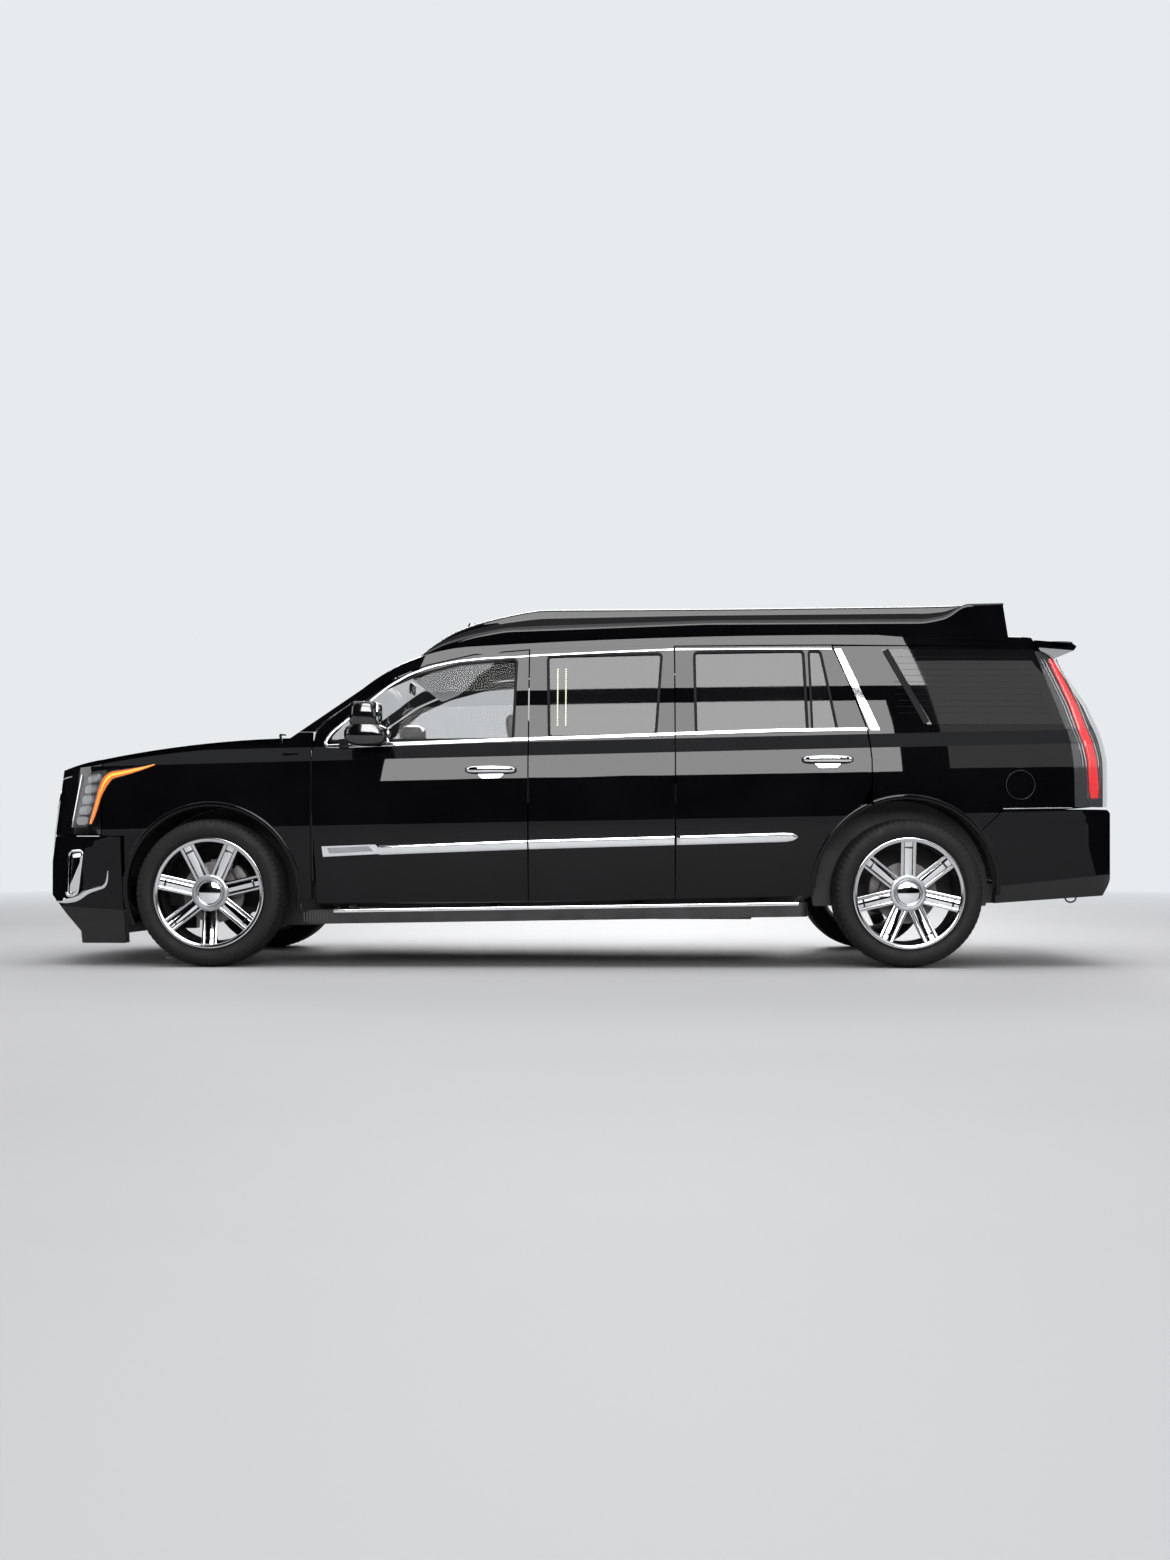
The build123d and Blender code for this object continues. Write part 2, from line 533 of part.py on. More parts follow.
with BuildPart() as fog_back:
    add(block(FOG_X[0] - 15, FOG_X[1] + 15, 700, 1100, FOG_Z[0] - 15, FOG_Z[1] + 15))
    add(side_volume(FOG_DEEP, FOG_DEEP), mode=Mode.INTERSECT)
    add(side_volume(END_WALL, END_WALL), mode=Mode.SUBTRACT)
    add(nose_block(FOG_DEEP), mode=Mode.SUBTRACT)
with BuildPart() as front_bumper:
    add(nose_shell.part)
    add(outline([(NOSE - 540, 120), (NOSE - 540, BUMPER_TOP - GAP), (NOSE + 100, BUMPER_TOP - GAP),
                 (NOSE + 100, 120)]), mode=Mode.INTERSECT)
    add(block(AXLE_F, NOSE + 100, -GRILLE_HALF - GAP, GRILLE_HALF + GAP, GRILLE_LOW - GAP, 1500),
        mode=Mode.SUBTRACT)
    add(block(NOSE - 300, NOSE + 100, -INTAKE_HALF, INTAKE_HALF, *INTAKE_Z), mode=Mode.SUBTRACT)
    for side in (1, -1):
        add(block(FOG_X[0], FOG_X[1], side * 800, side * 1100, *FOG_Z), mode=Mode.SUBTRACT)
    add(fog_back.part)
    add(fog_back.part.mirror(Plane.XZ))
    add(barrel_y(FRONT_ARCH_X, FRONT_ARCH_Z, FRONT_ARCH_R, -1300, 1300), mode=Mode.SUBTRACT)
    for side in (1, -1):
        add(block(AXLE_F + 780 + SEAT_GAP, NOSE - 110, side * RAIL_IN, side * RAIL_OUT, 430, 464 - GAP))
save(front_bumper, "front_bumper")
with BuildPart() as radiator:
    add(block(CARRIER[0], CARRIER[1], -CARRIER_HALF, CARRIER_HALF, 540 + SEAT_GAP, 990))
save(radiator, "radiator")

# square socket for a hitch bar, under the bumper, with its cross pin clear of the bumper's edge
HITCH_IN, HITCH_OUT, HITCH_PIN_R = 25.5, 32.0, 8.0
HITCH_Z = 430.0
HITCH_MOUTH = TAIL + 32
HITCH_PIN_X = HITCH_MOUTH + 63
HITCH_BEAM = TAIL + 240                   # rear face of the cross-member that carries it

# ---- tail -----------------------------------------------------------------------------------
REAR_BUMPER = [(B - 1590, 700 - GAP), (B - 1740, 846 - GAP), (TAIL + 125, 846 - GAP), (TAIL + 22, 790),
               (TAIL, 720), (TAIL, 640), (TAIL + 40, 520), (TAIL + 160, 380), (B - 1560, 330)]
with BuildPart() as bumper_plan:
    with BuildSketch(Plane.XY.offset(200)):
        with BuildLine():
            ThreePointArc((TAIL + 80, -700), (TAIL, 0), (TAIL + 80, 700))
            ThreePointArc((TAIL + 80, 700), (TAIL + 180, 870), (TAIL + 420, 965))
            Polyline((TAIL + 420, 965), (B - 1500, 1100), (B - 1500, -1100), (TAIL + 420, -965))
            ThreePointArc((TAIL + 420, -965), (TAIL + 180, -870), (TAIL + 80, -700))
        make_face()
    extrude(amount=800)
with BuildPart() as bumper_inside:
    add(outline([(0, 0), (0, 1200), (TAIL + 190, 1200), (TAIL + 190, 0)]))
    add(side_volume(END_WALL, END_WALL), mode=Mode.INTERSECT)
    add(side_volume(END_WALL, END_WALL).mirror(Plane.XZ), mode=Mode.INTERSECT)
with BuildPart() as rear_bumper:
    add(outline(REAR_BUMPER))
    add(LEFT, mode=Mode.INTERSECT)
    add(LEFT.mirror(Plane.XZ), mode=Mode.INTERSECT)
    add(bumper_plan.part, mode=Mode.INTERSECT)
    add(bumper_inside.part, mode=Mode.SUBTRACT)
    add(barrel_y(REAR_ARCH_X, REAR_ARCH_Z, REAR_ARCH_R, -1300, 1300), mode=Mode.SUBTRACT)
    add(block(TAIL - 100, TAIL + 300, -HITCH_OUT - GAP, HITCH_OUT + GAP, 300, HITCH_Z + HITCH_OUT + GAP),
        mode=Mode.SUBTRACT)
save(rear_bumper, "rear_bumper")

with BuildPart() as lamp_rear_left:
    add(outline([(TAIL + 336 - GAP, 852), (TAIL + 150, 852), (TAIL + 150, 1100), (TAIL + 180, 1256),
                 (TAIL + 240, 1399), (TAIL + 320, 1524), (TAIL + 410, 1665), (TAIL + 470, 1700),
                 (TAIL + 530 - GAP, 1700), (TAIL + 446 - GAP, 1485), (TAIL + 360 - GAP, 1246),
                 (TAIL + 341 - GAP, 1091)]))
    add(LEFT, mode=Mode.INTERSECT)
    add(side_volume(LOW_WALL + 60, HIGH_WALL + 60), mode=Mode.SUBTRACT)
    add(block(-FAR, FAR, GATE_HALF + GAP, 1300, 0, 2000), mode=Mode.INTERSECT)
    add(outline(QUARTER, offset_by=SEAT_GAP), mode=Mode.SUBTRACT)
with BuildPart() as lamp_flange:          # it seats on the inner face of the quarter panel
    add(outline([(TAIL + 400, 880), (TAIL + 200, 880), (TAIL + 200, 1150), (TAIL + 410, 1150)]))
    add(side_volume(LOW_WALL + SEAT_GAP, LOW_WALL + SEAT_GAP), mode=Mode.INTERSECT)
    add(side_volume(LOW_WALL + 60, LOW_WALL + 60), mode=Mode.SUBTRACT)
    add(block(-FAR, FAR, GATE_HALF + GAP, 1300, 0, 2000), mode=Mode.INTERSECT)
with BuildPart() as tail_lamps:
    add(lamp_rear_left.part)
    add(lamp_flange.part)
    mirror(about=Plane.XZ)
save(tail_lamps, "tail_lamps")

# ---- chassis --------------------------------------------------------------------------------
LOW_ARM_Z, HIGH_ARM_Z = 290.0, 540 + 16 + SEAT_GAP
RAIL_SIDE = [(AXLE_F + 780, 420), (AXLE_F + 780, 540), (AXLE_F - 330, 540), (AXLE_F - 480, RAIL_HIGH),
             (AXLE_R + 640, RAIL_HIGH), (AXLE_R + 400, 640), (AXLE_R - 420, 640), (AXLE_R - 640, 560),
             (TAIL + 190 + SEAT_GAP, 560), (TAIL + 190 + SEAT_GAP, 430), (AXLE_R - 600, 430),
             (AXLE_R - 380, 510), (AXLE_R + 360, 510), (AXLE_R + 600, RAIL_LOW), (AXLE_F - 600, RAIL_LOW),
             (AXLE_F - 370, 420)]
with BuildPart() as frame_rails:
    for side in (1, -1):
        with BuildSketch(Plane.XZ.offset(-side * (RAIL_IN + RAIL_OUT) / 2)):
            with BuildLine():
                Polyline(*RAIL_SIDE, close=True)
            make_face()
        extrude(amount=(RAIL_OUT - RAIL_IN) / 2, both=True)
        for end in (1, -1):
            x = AXLE_F + end * 165
            add(block(x - 35, x + 35, side * RAIL_IN, side * RAIL_OUT, LOW_ARM_Z + 16 + SEAT_GAP, 430))
save(frame_rails, "frame_rails")

# cross-members seat between the rails; the last one carries the hitch socket
CROSS = RAIL_IN - SEAT_GAP
MEMBERS = (  # x, bottom, top, length along the car
    (AXLE_F + 700, 430, 530, 90), (AXLE_F + 60, 430, 500, 120), (AXLE_F - 700, 310, 400, 90),
    (MID_X, 310, 400, 90), (AXLE_R + 760, 310, 400, 90), (AXLE_R + 10, 570, 630, 100))
with BuildPart() as crossmembers:
    for x, low, high, long in MEMBERS:
        add(block(x - long / 2, x + long / 2, -CROSS, CROSS, low, high))
    add(block(HITCH_BEAM, HITCH_BEAM + 90, -CROSS, CROSS, HITCH_Z - HITCH_OUT - 10, 550))
save(crossmembers, "crossmembers")

with BuildPart() as hitch_socket:
    with BuildSketch(Plane.YZ.offset(HITCH_MOUTH)):
        with Locations((0, HITCH_Z)):
            Rectangle(2 * HITCH_OUT, 2 * HITCH_OUT)
            Rectangle(2 * HITCH_IN, 2 * HITCH_IN, mode=Mode.SUBTRACT)
    extrude(amount=HITCH_BEAM - SEAT_GAP - HITCH_MOUTH)
    add(barrel_y(HITCH_PIN_X, HITCH_Z, HITCH_PIN_R, -HITCH_OUT - 5, HITCH_OUT + 5), mode=Mode.SUBTRACT)
save(hitch_socket, "hitch_socket")

# cabin floor with its sills, the firewall and the cowl
CABIN_FRONT = A + 1200
CABIN_BACK = TAIL + 330
FLOOR_T = 40.0
MOUNT_PAD = (RAIL_IN + RAIL_OUT) / 2
REAR_DECK_Z = 660.0
with BuildPart() as hood_hinges:
    for side in (1, -1):
        add(block(CABIN_FRONT + 100, COWL_X + 60, side * 600, side * 660, 1090, 1300))
    add(top_volume(ROOF_WALL + SEAT_GAP), mode=Mode.INTERSECT)
with BuildPart() as hinge_post:
    add(block(A + 1154 + SEAT_GAP, CABIN_FRONT, SILL_OUT - 60, HALF_WIDTH, FLOOR_Z - FLOOR_T, 1140))
    add(side_volume(FENDER_WALL + SEAT_GAP, FENDER_WALL + SEAT_GAP), mode=Mode.INTERSECT)
with BuildPart() as wall_feet:
    add(block(B + 100, A - 100, SILL_OUT - 20, 1100, 400, FLOOR_Z))
    add(block(CABIN_BACK, AXLE_R - 560, 580, 1100, REAR_DECK_Z + 5, REAR_DECK_Z + FLOOR_T))
    add(side_volume(LOW_WALL + SEAT_GAP, LOW_WALL + SEAT_GAP), mode=Mode.INTERSECT)
with BuildPart() as floor:
    with BuildSketch(Plane.XZ):
        with BuildLine():
            Polyline((CABIN_FRONT, FLOOR_Z - FLOOR_T), (CABIN_FRONT, FLOOR_Z), (B - 560, FLOOR_Z),
                     (B - 660, REAR_DECK_Z + FLOOR_T), (CABIN_BACK, REAR_DECK_Z + FLOOR_T),
                     (CABIN_BACK, REAR_DECK_Z), (B - 690, REAR_DECK_Z), (B - 590, FLOOR_Z - FLOOR_T),
                     close=True)
        make_face()
    extrude(amount=590, both=True)
    for side in (1, -1):
        add(block(B - 640, CABIN_FRONT, side * 580, side * SILL_OUT, FLOOR_Z - FLOOR_T, FLOOR_Z))
        add(block(B - 640, CABIN_FRONT, side * (SILL_OUT - 88), side * SILL_OUT, 385, FLOOR_Z + 40))
        for x, z in ((AXLE_F - 600, 440), (MID_X, 440), (B - 400, 440), (AXLE_R + 200, 640),
                     (AXLE_R - 350, 640)):
            high = FLOOR_Z if z < 500 else REAR_DECK_Z + 5
            add(block(x - 40, x + 40, side * (MOUNT_PAD - 35), side * (MOUNT_PAD + 35), z + SEAT_GAP, high))
    add(block(CABIN_FRONT - 60, CABIN_FRONT, -SILL_OUT, SILL_OUT, FLOOR_Z - FLOOR_T, 1140))
    add(block(CABIN_FRONT - 60, CABIN_FRONT + 130, -COWL_HALF, COWL_HALF, 1090, 1140))
    add(hood_hinges.part)
    for fitting in (hinge_post, wall_feet):
        add(fitting.part)
        add(fitting.part.mirror(Plane.XZ))
save(floor, "floor")

# running boards under the doors
BOARD = [(A + 1200, 230), (A + 1200, 305), (B - 700, 349), (B - 700, 272)]
with BuildPart() as running_boards:
    for side in (1, -1):
        with BuildSketch(Plane.XZ.offset(-side * 905)):
            with BuildLine():
                Polyline(*BOARD, close=True)
            make_face()
        extrude(amount=95, both=True)
    fillet(running_boards.edges().filter_by(Axis.Z), 35)
    for side in (1, -1):
        for x in (A + 1000, A + 200, MID_X - 200, B - 500):
            add(block(x - 25, x + 25, side * (RAIL_OUT + SEAT_GAP), side * 830, 285, 325))
save(running_boards, "running_boards")

# wheel liners: a half drum over each wheel
LINER = 8.0


def liner_at(x, z, radius, inner, wall):
    """The liner of one left wheel, from inner out to the inside of the body side."""
    with BuildPart() as liner:
        with BuildSketch(Plane.XZ.offset(-inner)):
            with Locations((x, z)):
                Circle(radius + LINER)
                Circle(radius, mode=Mode.SUBTRACT)
            with Locations((x, z - 500)):
                Rectangle(2000, 1160, mode=Mode.SUBTRACT)
        extrude(amount=-500)
        add(side_volume(wall + SEAT_GAP, wall + SEAT_GAP), mode=Mode.INTERSECT)
    return liner.part


with BuildPart() as wheel_liners:
    add(liner_at(FRONT_ARCH_X, FRONT_ARCH_Z, FRONT_ARCH_R, 520, FENDER_WALL))
    add(liner_at(REAR_ARCH_X, REAR_ARCH_Z, REAR_ARCH_R, 600, LOW_WALL))
    mirror(about=Plane.XZ)
save(wheel_liners, "wheel_liners")

# engine with its gearbox, one plain block at its real place
with BuildPart() as engine:
    add(block(AXLE_F - 440, AXLE_F + 400, -300, 300, 560, 980))
    add(block(AXLE_F - 200, AXLE_F + 300, -180, 180, 500 + SEAT_GAP, 600))
save(engine, "engine")

TANK_FRONT = MID_X - 45 - SEAT_GAP      # between two cross-members
TANK_BACK = AXLE_R + 760 + 45 + SEAT_GAP
with BuildPart() as fuel_tank:
    with BuildSketch(Plane.XZ.offset(-225)):
        with Locations(((TANK_FRONT + TANK_BACK) / 2, 370)):
            RectangleRounded(TANK_FRONT - TANK_BACK, 130, 40)
    extrude(amount=140, both=True)
save(fuel_tank, "fuel_tank")

PIPE_R = 38.0
EXHAUST_Z = 310 - SEAT_GAP - PIPE_R
with BuildPart() as exhaust:
    with BuildLine() as pipe_path:
        FilletPolyline((AXLE_F - 500, -220, EXHAUST_Z), (B - 640, -220, EXHAUST_Z),
                       (B - 860, -220, 400), (AXLE_R + 330, -220, 440), radius=120)
    with BuildSketch(Plane(origin=pipe_path.line @ 0, z_dir=pipe_path.line % 0)):
        Circle(PIPE_R)
    sweep()
    with BuildSketch(Plane.YZ.offset(A - 700)):
        with Locations((-220, EXHAUST_Z - 15)):
            SlotOverall(230, 100)
    extrude(amount=-560)
save(exhaust, "exhaust")

# ---- suspension, axle and wheels --------------------------------------------------------------
KINGPIN_Y = WHEEL_Y - 90
with BuildPart() as suspension_arms:
    for side in (1, -1):
        for z, inner, spread in ((LOW_ARM_Z, 400, 200), (HIGH_ARM_Z, 430, 120)):
            with BuildSketch(Plane.XY.offset(z - 16)):
                with BuildLine():
                    Polyline((AXLE_F - 30, side * (KINGPIN_Y + 22)), (AXLE_F + 30, side * (KINGPIN_Y + 22)),
                             (AXLE_F + 60, side * 640), (AXLE_F + spread, side * inner),
                             (AXLE_F + spread - 70, side * inner), (AXLE_F, side * 620),
                             (AXLE_F - spread + 70, side * inner), (AXLE_F - spread, side * inner),
                             (AXLE_F - 60, side * 640), close=True)
                make_face()
            extrude(amount=32)
save(suspension_arms, "suspension_arms")

SPINDLE_R = 30.0
RUNNING = 0.1
HUB_INNER_Y = WHEEL_Y - 40
for name, side in (("knuckle_left", 1), ("knuckle_right", -1)):
    with BuildPart() as knuckle:
        add(block(AXLE_F - 40, AXLE_F + 40, side * (KINGPIN_Y - 35), side * (KINGPIN_Y + 25),
                  LOW_ARM_Z + 16 + SEAT_GAP, HIGH_ARM_Z - 16 - SEAT_GAP))
        add(barrel_y(AXLE_F, TYRE_R, 60, side * (KINGPIN_Y - 20), side * (KINGPIN_Y + 35)))
        add(barrel_y(AXLE_F, TYRE_R, SPINDLE_R, side * KINGPIN_Y, side * (WHEEL_Y + 60)))
    save(knuckle, name)

with BuildPart() as rear_axle:
    add(barrel_y(AXLE_R, TYRE_R, 52, -WHEEL_Y + 60, WHEEL_Y - 60))
    add(barrel_y(AXLE_R, TYRE_R, SPINDLE_R, -WHEEL_Y - 60, WHEEL_Y + 60))
    with Locations((AXLE_R, 0, TYRE_R)):
        Sphere(150)
    for side in (1, -1):
        add(block(AXLE_R + 30, AXLE_R + 330, side * 500, side * 560, TYRE_R - 30, TYRE_R + 30))
        add(block(AXLE_R - 40, AXLE_R + 40, side * 395, side * 465, TYRE_R, 510 - SEAT_GAP))
save(rear_axle, "rear_axle")

FLANGE_R = RIM_R
BARREL_R = RIM_R - 14
SPOKES = 7
HUB_R, SPOKE_END = 51.0, RIM_R - 18       # where a spoke starts and ends
FACE_IN, FACE_OUT = 55.0, 93.0            # inner and outer face of the spokes, from the wheel's middle
RIB_START, RIB_END = 100.0, RIM_R - 32    # groove that splits a spoke into two ribs
RIB_DEEP = 16.0
BEAD = 26 + SEAT_GAP


def tyre_at(x, side):
    """One tyre: a revolved section with rounded shoulders and bulging walls."""
    half = TYRE_W / 2
    with BuildPart() as tyre:
        with BuildSketch(Plane.YZ.offset(x)):
            with BuildLine():
                Polyline((side * WHEEL_Y - half + BEAD, TYRE_R + BARREL_R + SEAT_GAP),
                         (side * WHEEL_Y - half + BEAD, TYRE_R + FLANGE_R + SEAT_GAP),
                         (side * WHEEL_Y - half + 12, TYRE_R + FLANGE_R + 6),
                         (side * WHEEL_Y - half, 2 * TYRE_R - 50),
                         (side * WHEEL_Y - half + 12, 2 * TYRE_R - 19),
                         (side * WHEEL_Y - half + 40, 2 * TYRE_R - 4), (side * WHEEL_Y, 2 * TYRE_R),
                         (side * WHEEL_Y + half - 40, 2 * TYRE_R - 4),
                         (side * WHEEL_Y + half - 12, 2 * TYRE_R - 19),
                         (side * WHEEL_Y + half, 2 * TYRE_R - 50),
                         (side * WHEEL_Y + half - 12, TYRE_R + FLANGE_R + 6),
                         (side * WHEEL_Y + half - BEAD, TYRE_R + FLANGE_R + SEAT_GAP),
                         (side * WHEEL_Y + half - BEAD, TYRE_R + BARREL_R + SEAT_GAP), close=True)
            make_face()
        revolve(axis=Axis((x, 0, TYRE_R), (0, 1, 0)), revolution_arc=360)
    return tyre.part


def rim_at(x, side, turn):
    """One wheel: barrel with its flanges, seven spokes of two ribs each, hub and brake disc."""
    y = side * WHEEL_Y
    half = TYRE_W / 2 - 26
    with BuildPart() as rim:
        with BuildSketch(Plane.YZ.offset(x)):
            with BuildLine():
                Polyline((y - half - 10, TYRE_R + FLANGE_R), (y - half, TYRE_R + FLANGE_R),
                         (y - half, TYRE_R + BARREL_R), (y + half, TYRE_R + BARREL_R),
                         (y + half, TYRE_R + FLANGE_R), (y + half + 10, TYRE_R + FLANGE_R),
                         (y + half + 10, TYRE_R + BARREL_R - 14), (y - half - 10, TYRE_R + BARREL_R - 14),
                         close=True)
            make_face()
        revolve(axis=Axis((x, 0, TYRE_R), (0, 1, 0)), revolution_arc=360)
        with BuildSketch(Plane.XZ.offset(-side * (WHEEL_Y + FACE_IN))):
            with Locations((x, TYRE_R)):
                Circle(62)
                for k in range(SPOKES):
                    with Locations(Location((0, 0), turn + k * 360 / SPOKES)):
                        with Locations((0, (HUB_R + SPOKE_END) / 2)):
                            Trapezoid(74, SPOKE_END - HUB_R, 86, rotation=180)
        extrude(amount=-side * (FACE_OUT - FACE_IN))
        with BuildSketch(Plane.XZ.offset(-side * (WHEEL_Y + FACE_OUT))):
            with Locations((x, TYRE_R)):
                for k in range(SPOKES):
                    with Locations(Location((0, 0), turn + k * 360 / SPOKES)):
                        with Locations((0, (RIB_START + RIB_END) / 2)):
                            Trapezoid(34, RIB_END - RIB_START, 86, rotation=180)
        extrude(amount=side * RIB_DEEP, mode=Mode.SUBTRACT)
        add(barrel_y(x, TYRE_R, 84, side * (WHEEL_Y + 40), side * (WHEEL_Y + 100)))
        add(barrel_y(x, TYRE_R, 70, side * (HUB_INNER_Y - 10), side * (WHEEL_Y + 60)))
        add(barrel_y(x, TYRE_R, 165, side * (HUB_INNER_Y + 10), side * (HUB_INNER_Y + 38)))
        add(barrel_y(x, TYRE_R, SPINDLE_R + RUNNING, side * (HUB_INNER_Y - 20), side * (WHEEL_Y + 66)),
            mode=Mode.SUBTRACT)
    return rim.part


WHEELS = (("front_left", AXLE_F, 1, 180), ("front_right", AXLE_F, -1, 0),
          ("rear_left", AXLE_R, 1, 0), ("rear_right", AXLE_R, -1, 180))
for place, x, side, turn in WHEELS:
    with BuildPart() as tyre:
        add(tyre_at(x, side))
    save(tyre, f"tyre_{place}")
    with BuildPart() as rim:
        add(rim_at(x, side, turn))
    save(rim, f"rim_{place}")

# ---- cabin ------------------------------------------------------------------------------------
DRIVER_Y = 390.0
COLUMN = Plane(origin=(A + 700, DRIVER_Y, 1060), x_dir=(0, 1, 0), z_dir=(-0.9135, 0, 0.4067))
DASH = [(CABIN_FRONT - 70, 1105), (CABIN_FRONT - 70, 620), (A + 960, 640), (A + 900, 800), (A + 830, 900),
        (A + 830, 1080), (A + 920, 1170), (A + 1040, 1180)]
with BuildPart() as dashboard:
    with BuildSketch(Plane.XZ):
        with BuildLine():
            Polyline(*DASH, close=True)
        make_face()
    extrude(amount=800, both=True)
    with BuildSketch(COLUMN.offset(-40)):
        Circle(38)
    extrude(amount=-240)
    add(block(A + 500, A + 1000, -120, 120, FLOOR_Z + SEAT_GAP, 780))
save(dashboard, "dashboard")

with BuildPart() as steering_wheel:
    with BuildSketch(Plane(origin=COLUMN.origin, x_dir=(0, 1, 0), z_dir=COLUMN.y_dir)):
        with Locations((185, 0)):
            Circle(16)
    revolve(axis=Axis(COLUMN.origin, COLUMN.z_dir), revolution_arc=360)
    with BuildSketch(COLUMN.offset(-20)):
        Circle(70)
        Rectangle(350, 44)
    extrude(amount=22)
    with BuildSketch(COLUMN.offset(-40 + SEAT_GAP)):
        Circle(32)
    extrude(amount=30)
save(steering_wheel, "steering_wheel")


def seat(x, y, width, base=FLOOR_Z):
    """One seat: cushion, reclined back and head rest in one closed form, facing forward."""
    with BuildPart() as made:
        with BuildSketch(Plane.XZ.offset(-y)):
            with BuildLine():
                Polyline((x + 260, base + SEAT_GAP), (x + 290, base + 330), (x + 250, base + 390),
                         (x - 190, base + 360), (x - 330, base + 860), (x - 340, base + 1000),
                         (x - 400, base + 1000), (x - 420, base + 860), (x - 330, base + 300),
                         (x - 300, base + SEAT_GAP), close=True)
            make_face()
        extrude(amount=width / 2, both=True)
    return made.part


with BuildPart() as front_seats:
    for side in (1, -1):
        add(seat(A + 340, side * DRIVER_Y, 520))
save(front_seats, "front_seats")

with BuildPart() as rear_seats:
    for side in (1, -1):
        add(seat(MID_X - 120, side * 430, 560))
        add(seat(B - 200, side * 370, 620))
save(rear_seats, "rear_seats")

# door mirrors: an arm from the foot of the window and a head
with BuildPart() as mirror_head:
    with BuildSketch(Plane.YZ.offset(A + 840)):
        with Locations((1085, 1330)):
            RectangleRounded(170, 190, 45)
        with Locations((1075, 1240)):
            RectangleRounded(130, 60, 25)
    extrude(amount=110)
    fillet(mirror_head.edges().group_by(Axis.X)[-1], 22)
    add(block(A + 860, A + 940, 950, 1110, 1168, 1200))
    add(block(A + 860, A + 940, 1060, 1110, 1168, 1240))
with BuildPart() as mirror_left:
    add(mirror_head.part)
    add(side_volume(-SEAT_GAP, -SEAT_GAP), mode=Mode.SUBTRACT)
save(mirror_left, "mirror_left")
with BuildPart() as mirror_right:
    add(mirror_left.part.mirror(Plane.XZ))
save(mirror_right, "mirror_right")
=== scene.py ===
"""Finishes, fittings and studio for a stretched sport utility limousine with a raised roof.

Every length is in millimetres until make() puts it into a mesh in metres. +X is forward, +Y the left side
and +Z up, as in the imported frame. New pieces are surfaces on grids or profiles carried along paths.
"""
import json
import math

import bmesh
import bpy
import numpy as np
from bpy.props import FloatProperty, FloatVectorProperty, PointerProperty
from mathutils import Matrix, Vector

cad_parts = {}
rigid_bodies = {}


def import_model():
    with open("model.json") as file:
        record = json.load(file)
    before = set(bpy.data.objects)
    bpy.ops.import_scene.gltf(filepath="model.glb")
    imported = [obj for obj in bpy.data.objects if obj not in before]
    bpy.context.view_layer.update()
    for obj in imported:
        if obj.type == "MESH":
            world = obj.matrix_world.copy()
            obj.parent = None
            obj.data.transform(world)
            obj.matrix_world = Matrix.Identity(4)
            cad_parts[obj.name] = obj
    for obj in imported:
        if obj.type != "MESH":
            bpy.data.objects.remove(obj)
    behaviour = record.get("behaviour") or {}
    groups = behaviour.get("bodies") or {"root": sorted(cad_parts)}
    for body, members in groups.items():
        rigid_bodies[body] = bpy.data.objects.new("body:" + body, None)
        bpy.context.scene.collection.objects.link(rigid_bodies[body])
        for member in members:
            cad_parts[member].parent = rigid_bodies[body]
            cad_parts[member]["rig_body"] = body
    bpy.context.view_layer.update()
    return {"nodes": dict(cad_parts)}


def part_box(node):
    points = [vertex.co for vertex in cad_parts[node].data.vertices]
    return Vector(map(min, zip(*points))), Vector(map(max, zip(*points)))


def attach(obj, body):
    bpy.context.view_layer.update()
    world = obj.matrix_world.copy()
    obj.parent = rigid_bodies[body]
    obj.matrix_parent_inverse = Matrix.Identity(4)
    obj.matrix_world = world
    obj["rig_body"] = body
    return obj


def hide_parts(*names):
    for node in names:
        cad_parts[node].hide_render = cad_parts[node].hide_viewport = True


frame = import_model()

bl_info = {
    "name": "Limousine finishes",
    "version": (1, 0, 0),
    "blender": (4, 5, 0),
    "location": "3D View > Sidebar > Limousine",
    "description": "Builds the finishes, trim, wheels, lamps and cabin of a stretched limousine",
    "category": "Add Mesh",
}

NODES = frame["nodes"]
MM = 0.001

# main places of the body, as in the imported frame
NOSE = 2976.0
AXLE = {"front": 1952.0, "rear": -1763.0}
WHEEL_Y, TYRE_R = 872.5, 395.0
HALF_WIDTH = 1022.0
PLAN_R = 45000.0                       # radius of the side seen from above
RAKE, RAKE_Z = math.radians(1.3), 1200.0
SIDES = (("left", 1.0), ("right", -1.0))


# ---- body skin ------------------------------------------------------------------------------
def through(t, knots):
    """The parabola through three (t, value) knots."""
    (a, p), (b, q), (c, r) = knots
    return (p * (t - b) * (t - c) / ((a - b) * (a - c)) + q * (t - a) * (t - c) / ((b - a) * (b - c))
            + r * (t - a) * (t - b) / ((c - a) * (c - b)))


def side_y(x, z):
    """Y of the left body side: an inset by height, three bows and three flats, taken off a plan arc,
    the whole turned by the rake about a line across the car."""
    x, z = np.asarray(x, float), np.asarray(z, float)
    x0 = x * math.cos(RAKE) - (z - RAKE_Z) * math.sin(RAKE)
    z0 = RAKE_Z + x * math.sin(RAKE) + (z - RAKE_Z) * math.cos(RAKE)
    inset = np.select(
        [z0 < 300, z0 < 850, z0 < 1130, z0 < 1205, z0 < 1760],
        [170 - (z0 + 300) * 0.155, through(z0, ((300, 77), (575, 19), (850, 0))),
         through(z0, ((850, 0), (992, 4), (1130, 16))), 16 + (z0 - 1130) * 0.5333,
         through(z0, ((1205, 56), (1490, 117), (1760, 198)))],
        198 + (z0 - 1760) * 0.3)
    return HALF_WIDTH - PLAN_R + np.sqrt((PLAN_R - inset) ** 2 - x0 ** 2)


